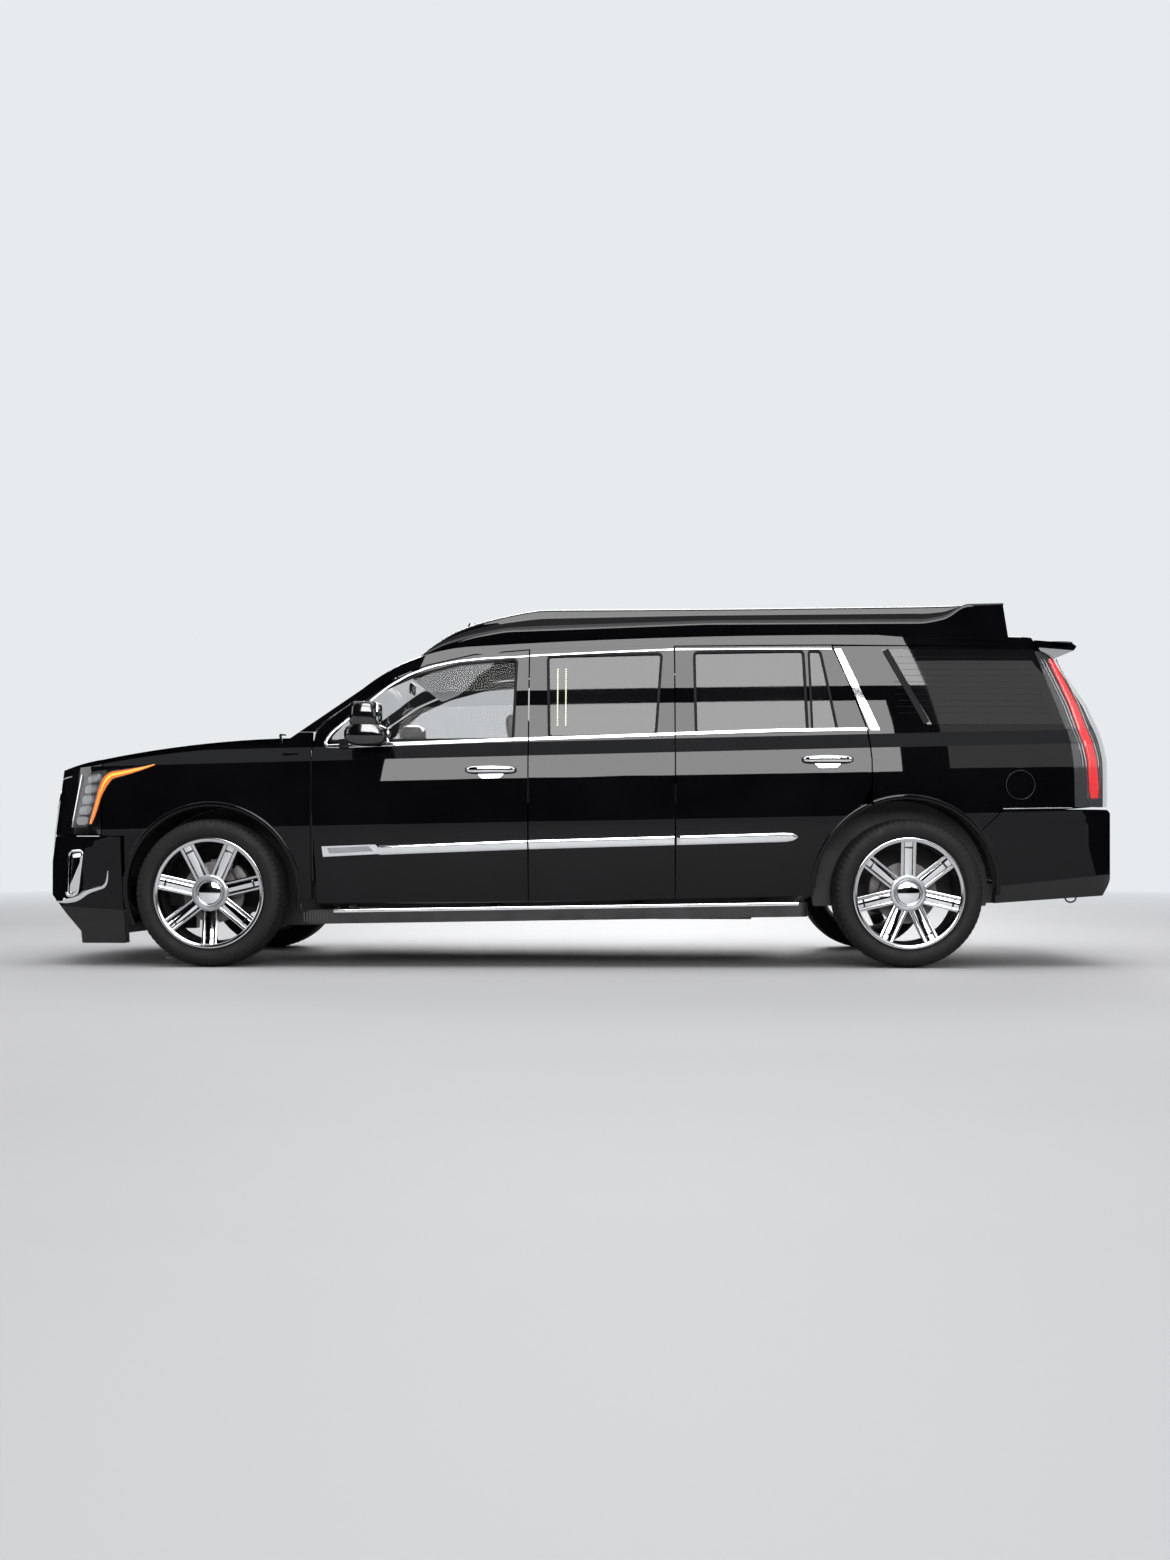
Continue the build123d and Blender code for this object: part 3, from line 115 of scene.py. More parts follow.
def on_side(xz, out=0.0):
    """Points on the left body side at these X and Z, moved out by a distance."""
    xz = np.asarray(xz, float)
    return np.stack([xz[:, 0], side_y(xz[:, 0], xz[:, 1]) + out, xz[:, 1]], 1)


def side_normal(xz):
    """The outward direction of the left body side, from differences 2 mm apart."""
    x, z = xz[:, 0], xz[:, 1]
    dx = (side_y(x + 1, z) - side_y(x - 1, z)) / 2
    dz = (side_y(x, z + 1) - side_y(x, z - 1)) / 2
    n = np.stack([-dx, np.ones_like(dx), -dz], 1)
    return n / np.linalg.norm(n, axis=1, keepdims=True)


def nose_inset(z):
    """How far the nose stands back from its foremost point at a height."""
    return np.interp(z, [-300, 180, 230, 280, 330, 380, 560, 700, 850, 1060, 2400],
                     [190, 150, 105, 70, 25, 0, 0, 9, 27, 62, 90])


# ---- paths and grids --------------------------------------------------------------------------
def spaced(points, step):
    """The same path with points at even lengths, about one step apart."""
    p = np.asarray(points, float)
    run = np.concatenate([[0], np.cumsum(np.linalg.norm(np.diff(p, axis=0), axis=1))])
    n = max(2, int(run[-1] / step) + 1)
    s = np.linspace(0, run[-1], n)
    return np.stack([np.interp(s, run, p[:, k]) for k in range(p.shape[1])], 1)


def oval(n, width, height, power=0.6):
    """A closed superellipse section: cosine and sine, each raised to a power, keep flat faces."""
    t = np.linspace(0, 2 * np.pi, n, endpoint=False)
    c, s = np.cos(t), np.sin(t)
    return np.stack([np.sign(c) * np.abs(c) ** power * width / 2,
                     np.sign(s) * np.abs(s) ** power * height / 2], 1)


def grid(points, around=True, along=False, caps=True):
    """Vertices and faces of a (rows, columns, 3) grid: columns closed when around, rows closed when
    along, and each open end closed by a fan about its middle when caps."""
    rows, cols = points.shape[:2]
    verts = points.reshape(-1, 3)
    index = np.arange(rows * cols).reshape(rows, cols)
    if around:
        index = np.concatenate([index, index[:, :1]], 1)
    if along:
        index = np.concatenate([index, index[:1]], 0)
    faces = np.stack([index[:-1, :-1], index[:-1, 1:], index[1:, 1:], index[1:, :-1]], -1)
    faces = faces.reshape(-1, 4).tolist()
    if caps and around and not along:
        for row in (0, -1):
            ring = index[row]
            middle = len(verts)
            verts = np.concatenate([verts, points[row].mean(0)[None]])
            faces += [(int(a), int(b), middle) for a, b in zip(ring[:-1], ring[1:])]
    return verts, faces


def sweep(path, section, normal, scale=None, closed=False):
    """A section (across, out) carried along a path. Across is tangent x normal. scale holds factors
    of the section at each point of the path."""
    path = np.asarray(path, float)
    if closed:
        tangent = np.roll(path, -1, 0) - np.roll(path, 1, 0)
    else:
        tangent = np.gradient(path, axis=0)
    tangent /= np.linalg.norm(tangent, axis=1, keepdims=True)
    normal = np.broadcast_to(np.asarray(normal, float), path.shape)
    across = np.cross(tangent, normal)
    across /= np.linalg.norm(across, axis=1, keepdims=True)
    out = np.cross(across, tangent)
    section = np.broadcast_to(section, (len(path),) + section.shape[-2:])
    if scale is not None:
        section = section * np.asarray(scale, float).reshape(len(path), 1, -1)
    pts = path[:, None] + across[:, None] * section[..., :1] + out[:, None] * section[..., 1:]
    return grid(pts, True, closed)


def turned(profile, centre, axis="y", steps=96, start=0.0, wave=None):
    """A closed (along the axis, radius) profile turned once about the axis through centre. wave may
    change the radii by angle: wave(angles, profile) gives (steps, points) radii."""
    profile = np.asarray(profile, float)
    angle = start + np.linspace(0, 2 * np.pi, steps, endpoint=False)
    radius = np.broadcast_to(profile[:, 1], (steps, len(profile))) if wave is None else wave(angle, profile)
    a = np.broadcast_to(profile[:, 0], radius.shape)
    u, w = radius * np.cos(angle)[:, None], radius * np.sin(angle)[:, None]
    order = {"y": (u, a, w), "x": (a, u, w), "z": (u, w, a)}[axis]
    return grid(np.stack(order, -1) + np.asarray(centre, float), True, True)


def block(x0, x1, y0, y1, z0, z1, edge=3.0):
    """A box with rounded upright edges and softened ends: a superellipse outline stacked in four rings."""
    ring = oval(24, 1.0, 1.0, 0.22)
    size = np.array([abs(x1 - x0), abs(y1 - y0)])
    soft = np.array([-2 * edge, 0, 0, -2 * edge])
    heights = np.array([z0, z0 + edge, z1 - edge, z1])
    pts = np.stack([np.concatenate([ring * (size + s) + [(x0 + x1) / 2, (y0 + y1) / 2],
                                    np.full((24, 1), h)], 1) for s, h in zip(soft, heights)])
    return grid(pts)


def joined(bits):
    """Several (vertices, faces) bits as one."""
    verts, faces, start = [], [], 0
    for v, f in bits:
        verts.append(v)
        faces += [tuple(i + start for i in face) for face in f]
        start += len(v)
    return np.concatenate(verts), faces


def mirrored(bit):
    """The same bit on the other side of the car."""
    v, f = bit
    return v * [1, -1, 1], [face[::-1] for face in f]


def moved(bit, offset):
    """The same bit at another place."""
    return bit[0] + np.asarray(offset, float), bit[1]


def tilted(bit, centre, axis, degrees):
    """The bit turned about an axis through centre."""
    a = np.asarray(axis, float) / np.linalg.norm(axis)
    t = math.radians(degrees)
    v = bit[0] - centre
    v = v * math.cos(t) + np.cross(a, v) * math.sin(t) + np.outer(v @ a, a) * (1 - math.cos(t))
    return v + centre, bit[1]


def make(name, bits, finish, body="chassis", slot=None, stands_for=(), sharp=38.0):
    """One object of bits that share a finish: its doubles are merged, its faces point outwards, and it
    rides on a body. A slot is worked out, the finish's own one unless another is given, but it is not put on
    the object."""
    verts, faces = joined(bits)
    mesh = bpy.data.meshes.new(name)
    mesh.from_pydata((verts * MM).tolist(), [], faces)
    work = bmesh.new()
    work.from_mesh(mesh)
    bmesh.ops.remove_doubles(work, verts=work.verts, dist=1e-6)
    bmesh.ops.recalc_face_normals(work, faces=work.faces)
    work.to_mesh(mesh)
    work.free()
    return finish_object(name, mesh, finish, body, slot, stands_for, sharp)


def finish_object(name, mesh, finish, body, slot, stands_for, sharp):
    """Smooth shading with sharp edges past an angle, a finish, and a body to ride on."""
    slot = slot or SLOT_OF.get(finish, finish)
    mesh.shade_smooth()
    mesh.set_sharp_from_angle(angle=math.radians(sharp))
    obj = bpy.data.objects.new(name, mesh)
    bpy.context.scene.collection.objects.link(obj)
    mesh.materials.append(FINISH[finish])
    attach(obj, body)
    if stands_for:
        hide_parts(*stands_for)
    return obj


# ---- finishes ---------------------------------------------------------------------------------
class Shade:
    """A material whose nodes are added by name, around one Principled shader."""

    def __init__(self, name, colour, rough, metal=0.0, **fixed):
        self.material = bpy.data.materials.new(name)
        self.material.use_nodes = True
        self.nodes = self.material.node_tree.nodes
        self.links = self.material.node_tree.links
        self.shader = self.nodes["Principled BSDF"]
        self.place = self.nodes.new("ShaderNodeTexCoord").outputs["Object"]
        sockets = self.shader.inputs
        sockets["Base Color"].default_value = (*colour, 1)
        sockets["Roughness"].default_value = rough
        sockets["Metallic"].default_value = metal
        for socket, value in fixed.items():
            sockets[socket.replace("_", " ")].default_value = value
        self.colour, self.rough = colour, rough

    def texture(self, kind, scale, stretch=(1, 1, 1), **inputs):
        """A texture on object coordinates, stretched by axis."""
        mapping = self.nodes.new("ShaderNodeMapping")
        mapping.inputs["Scale"].default_value = stretch
        self.links.new(self.place, mapping.inputs["Vector"])
        node = self.nodes.new(f"ShaderNodeTex{kind}")
        self.links.new(mapping.outputs["Vector"], node.inputs["Vector"])
        if "Scale" in node.inputs:
            node.inputs["Scale"].default_value = scale
        for socket, value in inputs.items():
            node.inputs[socket].default_value = value
        return node

    def ramp(self, value, stops):
        """A colour ramp from (place, colour) stops."""
        node = self.nodes.new("ShaderNodeValToRGB")
        points = node.color_ramp.elements
        while len(points) < len(stops):
            points.new(0.5)
        for point, (place, colour) in zip(points, stops):
            point.position = place
            point.color = (*colour, 1)
        self.links.new(value, node.inputs["Fac"])
        return node.outputs["Color"]

    def span(self, value, low, high, to_low=0.0, to_high=1.0):
        """A value taken from one range to another, held at the ends."""
        node = self.nodes.new("ShaderNodeMapRange")
        for socket, number in zip(("From Min", "From Max", "To Min", "To Max"),
                                  (low, high, to_low, to_high)):
            node.inputs[socket].default_value = number
        self.links.new(value, node.inputs["Value"])
        return node.outputs["Result"]

    def vary(self, spread=0.15, scale=6.0, rough_spread=0.05):
        """Soft cloudy changes of colour and roughness."""
        noise = self.texture("Noise", scale, Detail=4.0).outputs["Fac"]
        low = tuple(c * (1 - spread) for c in self.colour)
        high = tuple(min(1.0, c * (1 + spread)) for c in self.colour)
        self.links.new(self.ramp(noise, [(0.3, low), (0.7, high)]), self.shader.inputs["Base Color"])
        rough = self.span(noise, 0.3, 0.7, max(0.0, self.rough - rough_spread), self.rough + rough_spread)
        self.links.new(rough, self.shader.inputs["Roughness"])
        return self

    def bump(self, height, strength, distance=0.001):
        """Bump from a height."""
        node = self.nodes.new("ShaderNodeBump")
        node.inputs["Strength"].default_value = strength
        node.inputs["Distance"].default_value = distance
        self.links.new(height, node.inputs["Height"])
        self.links.new(node.outputs["Normal"], self.shader.inputs["Normal"])
        return self

    def grain(self, scale, strength, distance=0.0005, kind="Noise"):
        """Fine relief."""
        node = self.texture(kind, scale)
        return self.bump(node.outputs[0], strength, distance)

    def mix(self, factor, colour_a, colour_b):
        """Two colours by a factor."""
        node = self.nodes.new("ShaderNodeMix")
        node.data_type = "RGBA"
        self.links.new(factor, node.inputs["Factor"])
        node.inputs["A"].default_value = (*colour_a, 1)
        node.inputs["B"].default_value = (*colour_b, 1)
        return node.outputs["Result"]

    def axis(self, letter):
        """One object coordinate."""
        node = self.nodes.new("ShaderNodeSeparateXYZ")
        self.links.new(self.place, node.inputs["Vector"])
        return node.outputs[letter]

    def lower_part(self, x0, z0, x1, z1):
        """Grey grained plastic below a line from (x0, z0) to (x1, z1) in metres, paint above it."""
        noise = self.texture("Noise", 900.0).outputs["Fac"]
        line = self.span(self.axis("X"), x0, x1, z0, z1)
        node = self.nodes.new("ShaderNodeMath")
        node.operation = "SUBTRACT"
        self.links.new(line, node.inputs[0])
        self.links.new(self.axis("Z"), node.inputs[1])
        mask = self.span(node.outputs[0], -0.001, 0.001)
        self.links.new(self.mix(mask, self.colour, (0.022, 0.022, 0.023)), self.shader.inputs["Base Color"])
        self.links.new(self.span(mask, 0, 1, 0.04, 0.5), self.shader.inputs["Roughness"])
        times = self.nodes.new("ShaderNodeMath")
        times.operation = "MULTIPLY"
        self.links.new(mask, times.inputs[0])
        self.links.new(noise, times.inputs[1])
        return self.bump(times.outputs[0], 0.3, 0.0005)


FINISH = {}
VALANCE = {"bumper_paint_front": (2.45, 0.30, 2.82, 0.325), "bumper_paint_rear": (-2.80, 0.49, -2.25, 0.43)}
FINISHES = (  # name, colour, roughness, metal, other sockets, vary's values, grain's values
    ("clear_glass", (0.05, 0.056, 0.055), 0.01, 0, dict(Alpha=0.14, Specular_IOR_Level=0.35),
     (0.05, 2, 0.005), ()),
    ("chrome", (0.83, 0.84, 0.86), 0.06, 1, {}, (0.03, 12, 0.02), ()),
    ("rim", (0.62, 0.63, 0.65), 0.14, 1, {}, (0.04, 12, 0.03), ()),
    ("satin", (0.42, 0.43, 0.45), 0.32, 1, {}, (0.06, 20, 0.05), ()),
    ("lamp_clear", (0.3, 0.32, 0.33), 0.02, 0, dict(Alpha=0.12, Specular_IOR_Level=0.6),
     (0.03, 5, 0.01), ()),
    ("lamp_red", (0.5, 0.002, 0.004), 0.12, 0,
     dict(Coat_Weight=0.5, Coat_Roughness=0.02, Emission_Color=(1, 0.004, 0.012, 1),
          Emission_Strength=0.75), (0.2, 40, 0.03), ()),
    ("lamp_amber", (0.9, 0.22, 0.01), 0.1, 0,
     dict(Coat_Weight=1.0, Coat_Roughness=0.02, Emission_Color=(1, 0.17, 0.005, 1),
          Emission_Strength=0.7), (0.2, 40, 0.03), ()),
    ("lamp_glow", (0.9, 0.5, 0.1), 0.1, 0,
     dict(Emission_Color=(1, 0.42, 0.04, 1), Emission_Strength=1.3), (0.15, 40, 0.03), ()),
    # painted light: the warm glow of the dots on the middle window, which are no lamp
    ("painted_glow_warm", (0.9, 0.88, 0.7), 0.3, 0,
     dict(Emission_Color=(1, 0.95, 0.72, 1), Emission_Strength=1.6), (0.1, 40, 0.03), ()),
    ("lamp_element", (0.8, 0.82, 0.85), 0.03, 0, dict(Alpha=0.5, Coat_Weight=1.0), (0.05, 30, 0.01), ()),
    ("steel_dark", (0.03, 0.03, 0.032), 0.5, 0.3, {}, (0.25, 9, 0.1), (260, 0.25)),
    ("black_plastic", (0.017, 0.017, 0.018), 0.55, 0, {}, (0.2, 7, 0.08), (900, 0.3)),
    ("gloss_plastic", (0.006, 0.006, 0.007), 0.09, 0, dict(Coat_Weight=1.0, Coat_Roughness=0.03),
     (0.2, 9, 0.03), ()),
    ("tyre", (0.008, 0.008, 0.0085), 0.7, 0, dict(Specular_IOR_Level=0.25), (0.25, 14, 0.1), (700, 0.25)),
    ("cast_iron", (0.17, 0.16, 0.16), 0.62, 0.8, {}, (0.3, 22, 0.12), (300, 0.5)),
    ("aluminium", (0.46, 0.46, 0.47), 0.42, 1, {}, (0.12, 15, 0.1), (420, 0.25)),
    ("leather", (0.46, 0.455, 0.44), 0.48, 0, {}, (0.08, 6, 0.06), (520, 0.4, 0.0005, "Voronoi")),
    ("wheel_leather", (0.022, 0.021, 0.02), 0.5, 0, {}, (0.2, 14, 0.06), (600, 0.4, 0.0005, "Voronoi")),
    ("cloth", (0.4, 0.395, 0.385), 0.9, 0, {}, (0.08, 18, 0.05), (1400, 0.4)),
    ("board", (0.016, 0.016, 0.017), 0.4, 0.3, {}, (0.2, 10, 0.1), (500, 0.3)),
    ("rubber", (0.012, 0.012, 0.013), 0.6, 0, dict(Specular_IOR_Level=0.1), (0.2, 16, 0.06), (900, 0.2)),
)


def paint_finishes(look):
    """All finishes by name: the paints and the dark glass take their colours from the settings."""
    black = tuple(look.body_colour)
    made = {"body_paint": Shade("body_paint", black, look.body_roughness, Coat_Weight=1.0,
                                Coat_Roughness=0.012, Coat_IOR=1.34,
                                Specular_IOR_Level=0.0).vary(0.3, 3.0, 0.03)}
    for name, line in VALANCE.items():
        made[name] = Shade(name, black, look.body_roughness, Specular_IOR_Level=0.26).lower_part(*line)
    made["dark_glass"] = Shade("dark_glass", tuple(look.glass_colour), 0.02, Alpha=0.94,
                               Specular_IOR_Level=0.4).vary(0.1, 2.0, 0.01)
    for name, colour, rough, metal, sockets, cloud, relief in FINISHES:
        made[name] = Shade(name, colour, rough, metal, **sockets).vary(*cloud)
        if relief:
            made[name].grain(*relief)
    FINISH.update((name, shade.material) for name, shade in made.items())


CARRIED = {
    "body_paint": ("mid_panels", "roof_frame", "front_fenders", "quarter_panels", "hood",
                   "tailgate", "spoiler", "fuel_door", "front_door_left", "front_door_right",
                   "rear_door_left", "rear_door_right"),
    "bumper_paint_front": ("front_bumper",),
    "bumper_paint_rear": ("rear_bumper",),
    "clear_glass": ("windscreen", "front_door_glass_left", "front_door_glass_right"),
    "dark_glass": ("side_glass", "rear_window", "rear_door_glass_left", "rear_door_glass_right"),
    "steel_dark": ("frame_rails", "crossmembers", "hitch_socket", "floor"),
    "black_plastic": ("wheel_liners", "dashboard", "grille", "fuel_tank"),
    "leather": ("front_seats", "rear_seats", "steering_wheel"),
    "board": ("running_boards",),
    "cast_iron": ("suspension_arms", "rear_axle", "knuckle_left", "knuckle_right"),
    "aluminium": ("engine", "radiator", "exhaust"),
    "gloss_plastic": ("mirror_left", "mirror_right", "headlamps"),
    "lamp_clear": ("tail_lamps",),
    "tyre": ("tyre_front_left", "tyre_front_right", "tyre_rear_left", "tyre_rear_right"),
    "chrome": ("rim_front_left", "rim_front_right", "rim_rear_left", "rim_rear_right"),
}
SMOOTHED = CARRIED["body_paint"] + CARRIED["bumper_paint_front"] + CARRIED["bumper_paint_rear"] + (
    "windscreen", "front_door_glass_left", "front_door_glass_right", "side_glass", "rear_window",
    "rear_door_glass_left", "rear_door_glass_right", "headlamps")
SLOT_OF = {"bumper_paint_front": "body_paint", "bumper_paint_rear": "body_paint", "rim": "chrome",
           "satin": "chrome", "lamp_amber": "lamp_clear", "lamp_glow": "lamp_clear",
           "painted_glow_warm": "lamp_clear", "lamp_element": "lamp_clear", "aluminium": "black_plastic",
           "wheel_leather": "leather", "cloth": "leather", "rubber": "black_plastic"}


def merged_copy(node, finish):
    """A CAD node's mesh with its loose triangles merged and its shading smoothed, in place of the node."""
    source = NODES[node]
    mesh = source.data.copy()
    mesh.name = f"{node}_skin"
    work = bmesh.new()
    work.from_mesh(mesh)
    bmesh.ops.remove_doubles(work, verts=work.verts, dist=1e-5)
    bmesh.ops.dissolve_degenerate(work, edges=work.edges, dist=1e-6)
    work.to_mesh(mesh)
    work.free()
    mesh.materials.clear()
    if mesh.has_custom_normals:
        mesh.attributes.remove(mesh.attributes["custom_normal"])
    finish_object(mesh.name, mesh, finish, source["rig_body"], None, (node,), 24.0)
    skin_normals(mesh)


def skin_normals(mesh):
    """Exact directions on the body side: face corners that lie on the skin take its direction just
    inside their own face, so body lines stay crisp, and the others keep their own."""
    count = len(mesh.loops)
    own, spot = np.empty(count * 3, np.float32), np.empty(len(mesh.vertices) * 3, np.float32)
    flat = np.empty(len(mesh.polygons) * 3, np.float32)
    index, size = np.empty(count, np.int32), np.empty(len(mesh.polygons), np.int32)
    mesh.corner_normals.foreach_get("vector", own)
    mesh.vertices.foreach_get("co", spot)
    mesh.polygons.foreach_get("normal", flat)
    mesh.polygons.foreach_get("loop_total", size)
    mesh.loops.foreach_get("vertex_index", index)
    own, p = own.reshape(-1, 3), spot.reshape(-1, 3)[index] / MM
    face = np.repeat(flat.reshape(-1, 3), size, axis=0)
    middle = np.empty(len(mesh.polygons) * 3, np.float32)
    mesh.polygons.foreach_get("center", middle)
    rise = np.repeat(middle.reshape(-1, 3), size, axis=0)[:, 2] / MM - p[:, 2]
    exact = band_normal(np.stack([p[:, 0], p[:, 2] + np.clip(rise, -3.0, 3.0)], 1))
    exact[:, 1] *= np.sign(p[:, 1])
    on_skin = np.abs(np.abs(p[:, 1]) - body_y(p[:, 0], p[:, 2])) < 1.5
    take = on_skin & ((exact * face).sum(1) > 0.93) & (p[:, 0] < corner_x(p[:, 2]) + 300)
    if take.any():
        own[take] = exact[take]
        mesh.normals_split_custom_set(own)


# ---- settings ---------------------------------------------------------------------------------
class LimoLook(bpy.types.PropertyGroup):
    """Colours of the main finishes."""

    body_colour: FloatVectorProperty(name="Body colour", description="Colour of the body paint",
                                     default=(0.004, 0.004, 0.005), size=3, subtype="COLOR", min=0, max=1)
    body_roughness: FloatProperty(name="Body roughness", description="Roughness under the clear coat",
                                  default=0.16, min=0, max=1, subtype="FACTOR")
    glass_colour: FloatVectorProperty(name="Dark glass colour", description="Colour of the dark windows",
                                      default=(0.008, 0.0085, 0.009), size=3, subtype="COLOR", min=0, max=1)


class LimoStudio(bpy.types.PropertyGroup):
    """Floor, backdrop, lamps and camera."""

    floor_colour: FloatVectorProperty(name="Floor colour", description="Colour of the floor",
                                      default=(0.56, 0.56, 0.565), size=3, subtype="COLOR", min=0, max=1)
    lens: FloatProperty(name="Lens", description="Focal length of the camera", default=41.58, min=10,
                        max=200, unit="CAMERA")


class LIMO_OT_finishes(bpy.types.Operator):
    """Make every finish and give it to the carried-over nodes"""

    bl_idname = "limo.finishes"
    bl_label = "Finishes"

    def execute(self, context):
        paint_finishes(context.scene.limo_look)
        for finish, nodes in CARRIED.items():
            for node in nodes:
                if node in SMOOTHED:
                    merged_copy(node, finish)
                else:
                    mesh = NODES[node].data
                    mesh.materials.clear()
                    mesh.materials.append(FINISH[finish])
        return {"FINISHED"}


def plain_mesh(name, points, faces, material):
    """A mesh of the studio, which isn't part of the car. Metres."""
    mesh = bpy.data.meshes.new(name)
    mesh.from_pydata(points, [], faces)
    mesh.materials.append(material)
    obj = bpy.data.objects.new(name, mesh)
    bpy.context.scene.collection.objects.link(obj)
    return obj


def shown_to(nodes, links):
    """1 for camera, glossy and transmission rays, else 0."""
    path = nodes.new("ShaderNodeLightPath")
    total = path.outputs["Is Camera Ray"]
    for kind in ("Is Glossy Ray", "Is Transmission Ray"):
        add = nodes.new("ShaderNodeMath")
        add.operation = "ADD"
        add.use_clamp = True
        links.new(total, add.inputs[0])
        links.new(path.outputs[kind], add.inputs[1])
        total = add.outputs[0]
    return total


def fade_out(shade, near, far, colour):
    """The floor turns into the backdrop's colour between two distances, for the rays that see it."""
    nodes, links = shade.nodes, shade.links
    reach = nodes.new("ShaderNodeVectorMath")
    reach.operation = "LENGTH"
    links.new(shade.place, reach.inputs[0])
    part = nodes.new("ShaderNodeMath")
    part.operation = "MULTIPLY"
    links.new(shade.span(reach.outputs["Value"], near, far), part.inputs[0])
    links.new(shown_to(nodes, links), part.inputs[1])
    glow = nodes.new("ShaderNodeEmission")
    glow.inputs["Color"].default_value = (*colour, 1)
    mix = nodes.new("ShaderNodeMixShader")
    links.new(part.outputs[0], mix.inputs["Fac"])
    links.new(shade.shader.outputs[0], mix.inputs[1])
    links.new(glow.outputs[0], mix.inputs[2])
    links.new(mix.outputs[0], nodes["Material Output"].inputs["Surface"])


def flag(name, x0, x1, y0, y1, height):
    """A black upright board that only reflections see, between two floor points. Metres."""
    black = Shade(name, (0.0, 0.0, 0.0), 1.0, Specular_IOR_Level=0.0).material
    board = plain_mesh(name, [(x0, y0, 0.0), (x1, y1, 0.0), (x1, y1, height), (x0, y0, height)],
                       [(0, 1, 2, 3)], black)
    for kind in ("camera", "diffuse", "transmission", "shadow", "volume_scatter"):
        setattr(board, f"visible_{kind}", False)


def card(name, location, target, size, strength, diffuse=True, glossy=True):
    """A soft box: an area lamp at a place, facing a target. Metres."""
    data = bpy.data.lights.new(name, "AREA")
    data.shape = "RECTANGLE"
    data.size, data.size_y = size
    data.energy = strength * size[0] * size[1]
    obj = bpy.data.objects.new(name, data)
    bpy.context.scene.collection.objects.link(obj)
    obj.location = location
    aim = np.array(target, float) - np.array(location, float)
    obj.rotation_euler = Vector(aim).to_track_quat("-Z", "Y").to_euler()
    obj.visible_camera = False
    obj.visible_diffuse, obj.visible_glossy = diffuse, glossy
    return obj


class LIMO_OT_studio(bpy.types.Operator):
    """Make the floor, the backdrop, the lamps and the camera"""

    bl_idname = "limo.studio"
    bl_label = "Studio"

    def execute(self, context):
        scene = context.scene
        look = scene.limo_studio
        pale = (0.80, 0.83, 0.85)
        floor = Shade("floor", tuple(look.floor_colour), 0.75).vary(0.02, 0.6, 0.02)
        fade_out(floor, 6.0, 15.0, pale)
        size = 120.0
        plain_mesh("floor", [(-size, -size, 0), (size, -size, 0), (size, size, 0), (-size, size, 0)],
                   [(0, 1, 2, 3)], floor.material)
        for side in (14.0, -14.0):
            flag(f"flag_{'left' if side > 0 else 'right'}", -30, 30, side, side, 15)
            flag(f"flag_{'front' if side > 0 else 'rear'}", side * 1.4, side * 1.4, -14, 14, 15)
        world = bpy.data.worlds.new("studio")
        scene.world = world
        world.use_nodes = True
        nodes, links = world.node_tree.nodes, world.node_tree.links
        nodes.clear()
        out = nodes.new("ShaderNodeOutputWorld")
        mix = nodes.new("ShaderNodeMixShader")
        fill = nodes.new("ShaderNodeBackground")
        fill.inputs["Color"].default_value = (0.85, 0.88, 0.92, 1)
        fill.inputs["Strength"].default_value = 0.3
        back = nodes.new("ShaderNodeBackground")
        back.inputs["Color"].default_value = (*pale, 1)
        links.new(shown_to(nodes, links), mix.inputs["Fac"])
        links.new(fill.outputs[0], mix.inputs[1])
        links.new(back.outputs[0], mix.inputs[2])
        links.new(mix.outputs[0], out.inputs["Surface"])
        card("key_top", (0, 1.0, 9), (0, 0.2, 0), (14, 7), 2.3 * math.pi)
        card("front", (11, 4, 4), (2, 0, 0.8), (5, 5), 2.0 * math.pi)
        card("back", (-11, 4, 4), (-2, 0, 0.8), (5, 5), 2.0 * math.pi)
        for hand, side in SIDES:
            card(f"fill_{hand}", (0, side * 11, 4), (0, 0, 0.8), (18, 4), 1.3 * math.pi, glossy=False)
            for name, x0, x1, z0, z1, radiance in (("low", -4.3, 3.1, 2.85, 7.85, 12.0),
                                                   ("high", -5.0, 3.1, 8.8, 13.4, 12.0),
                                                   ("dim", -9.8, -5.0, 3.0, 10.5, 1.5)):
                x, z = (x0 + x1) / 2, (z0 + z1) / 2
                card(f"mirrored_{name}_{hand}", (x, side * 12, z), (x, 0, z), (x1 - x0, z1 - z0),
                     radiance * math.pi, diffuse=False)
        data = bpy.data.cameras.new("camera")
        data.sensor_width = 36
        data.lens = look.lens
        data.shift_y = 0.0375
        data.clip_end = 200
        camera = bpy.data.objects.new("camera", data)
        scene.collection.objects.link(camera)
        camera.location = (-0.2546, 10.539, 0.685)
        camera.rotation_euler = (math.radians(90), 0, math.radians(181.218))
        scene.camera = camera
        scene.view_settings.view_transform = "Standard"
        return {"FINISHED"}


# ---- wheels -----------------------------------------------------------------------------------
TREAD = [(-117, 286), (-118, 297), (-123, 302), (-131, 309), (-134.5, 312), (-136.5, 318), (-140, 331),
         (-141, 344), (-139, 358), (-136, 364), (-133.5, 370), (-128, 379), (-119, 386), (-108, 390),
         (-97, 392), (-84, 393), (-80, 386), (-73, 386), (-69, 393.5), (-46, 394.5), (-33, 394.8),
         (-29, 387), (-22, 387), (-18, 395), (0, 395)]
SPOKES = 7
DISC_R = 165


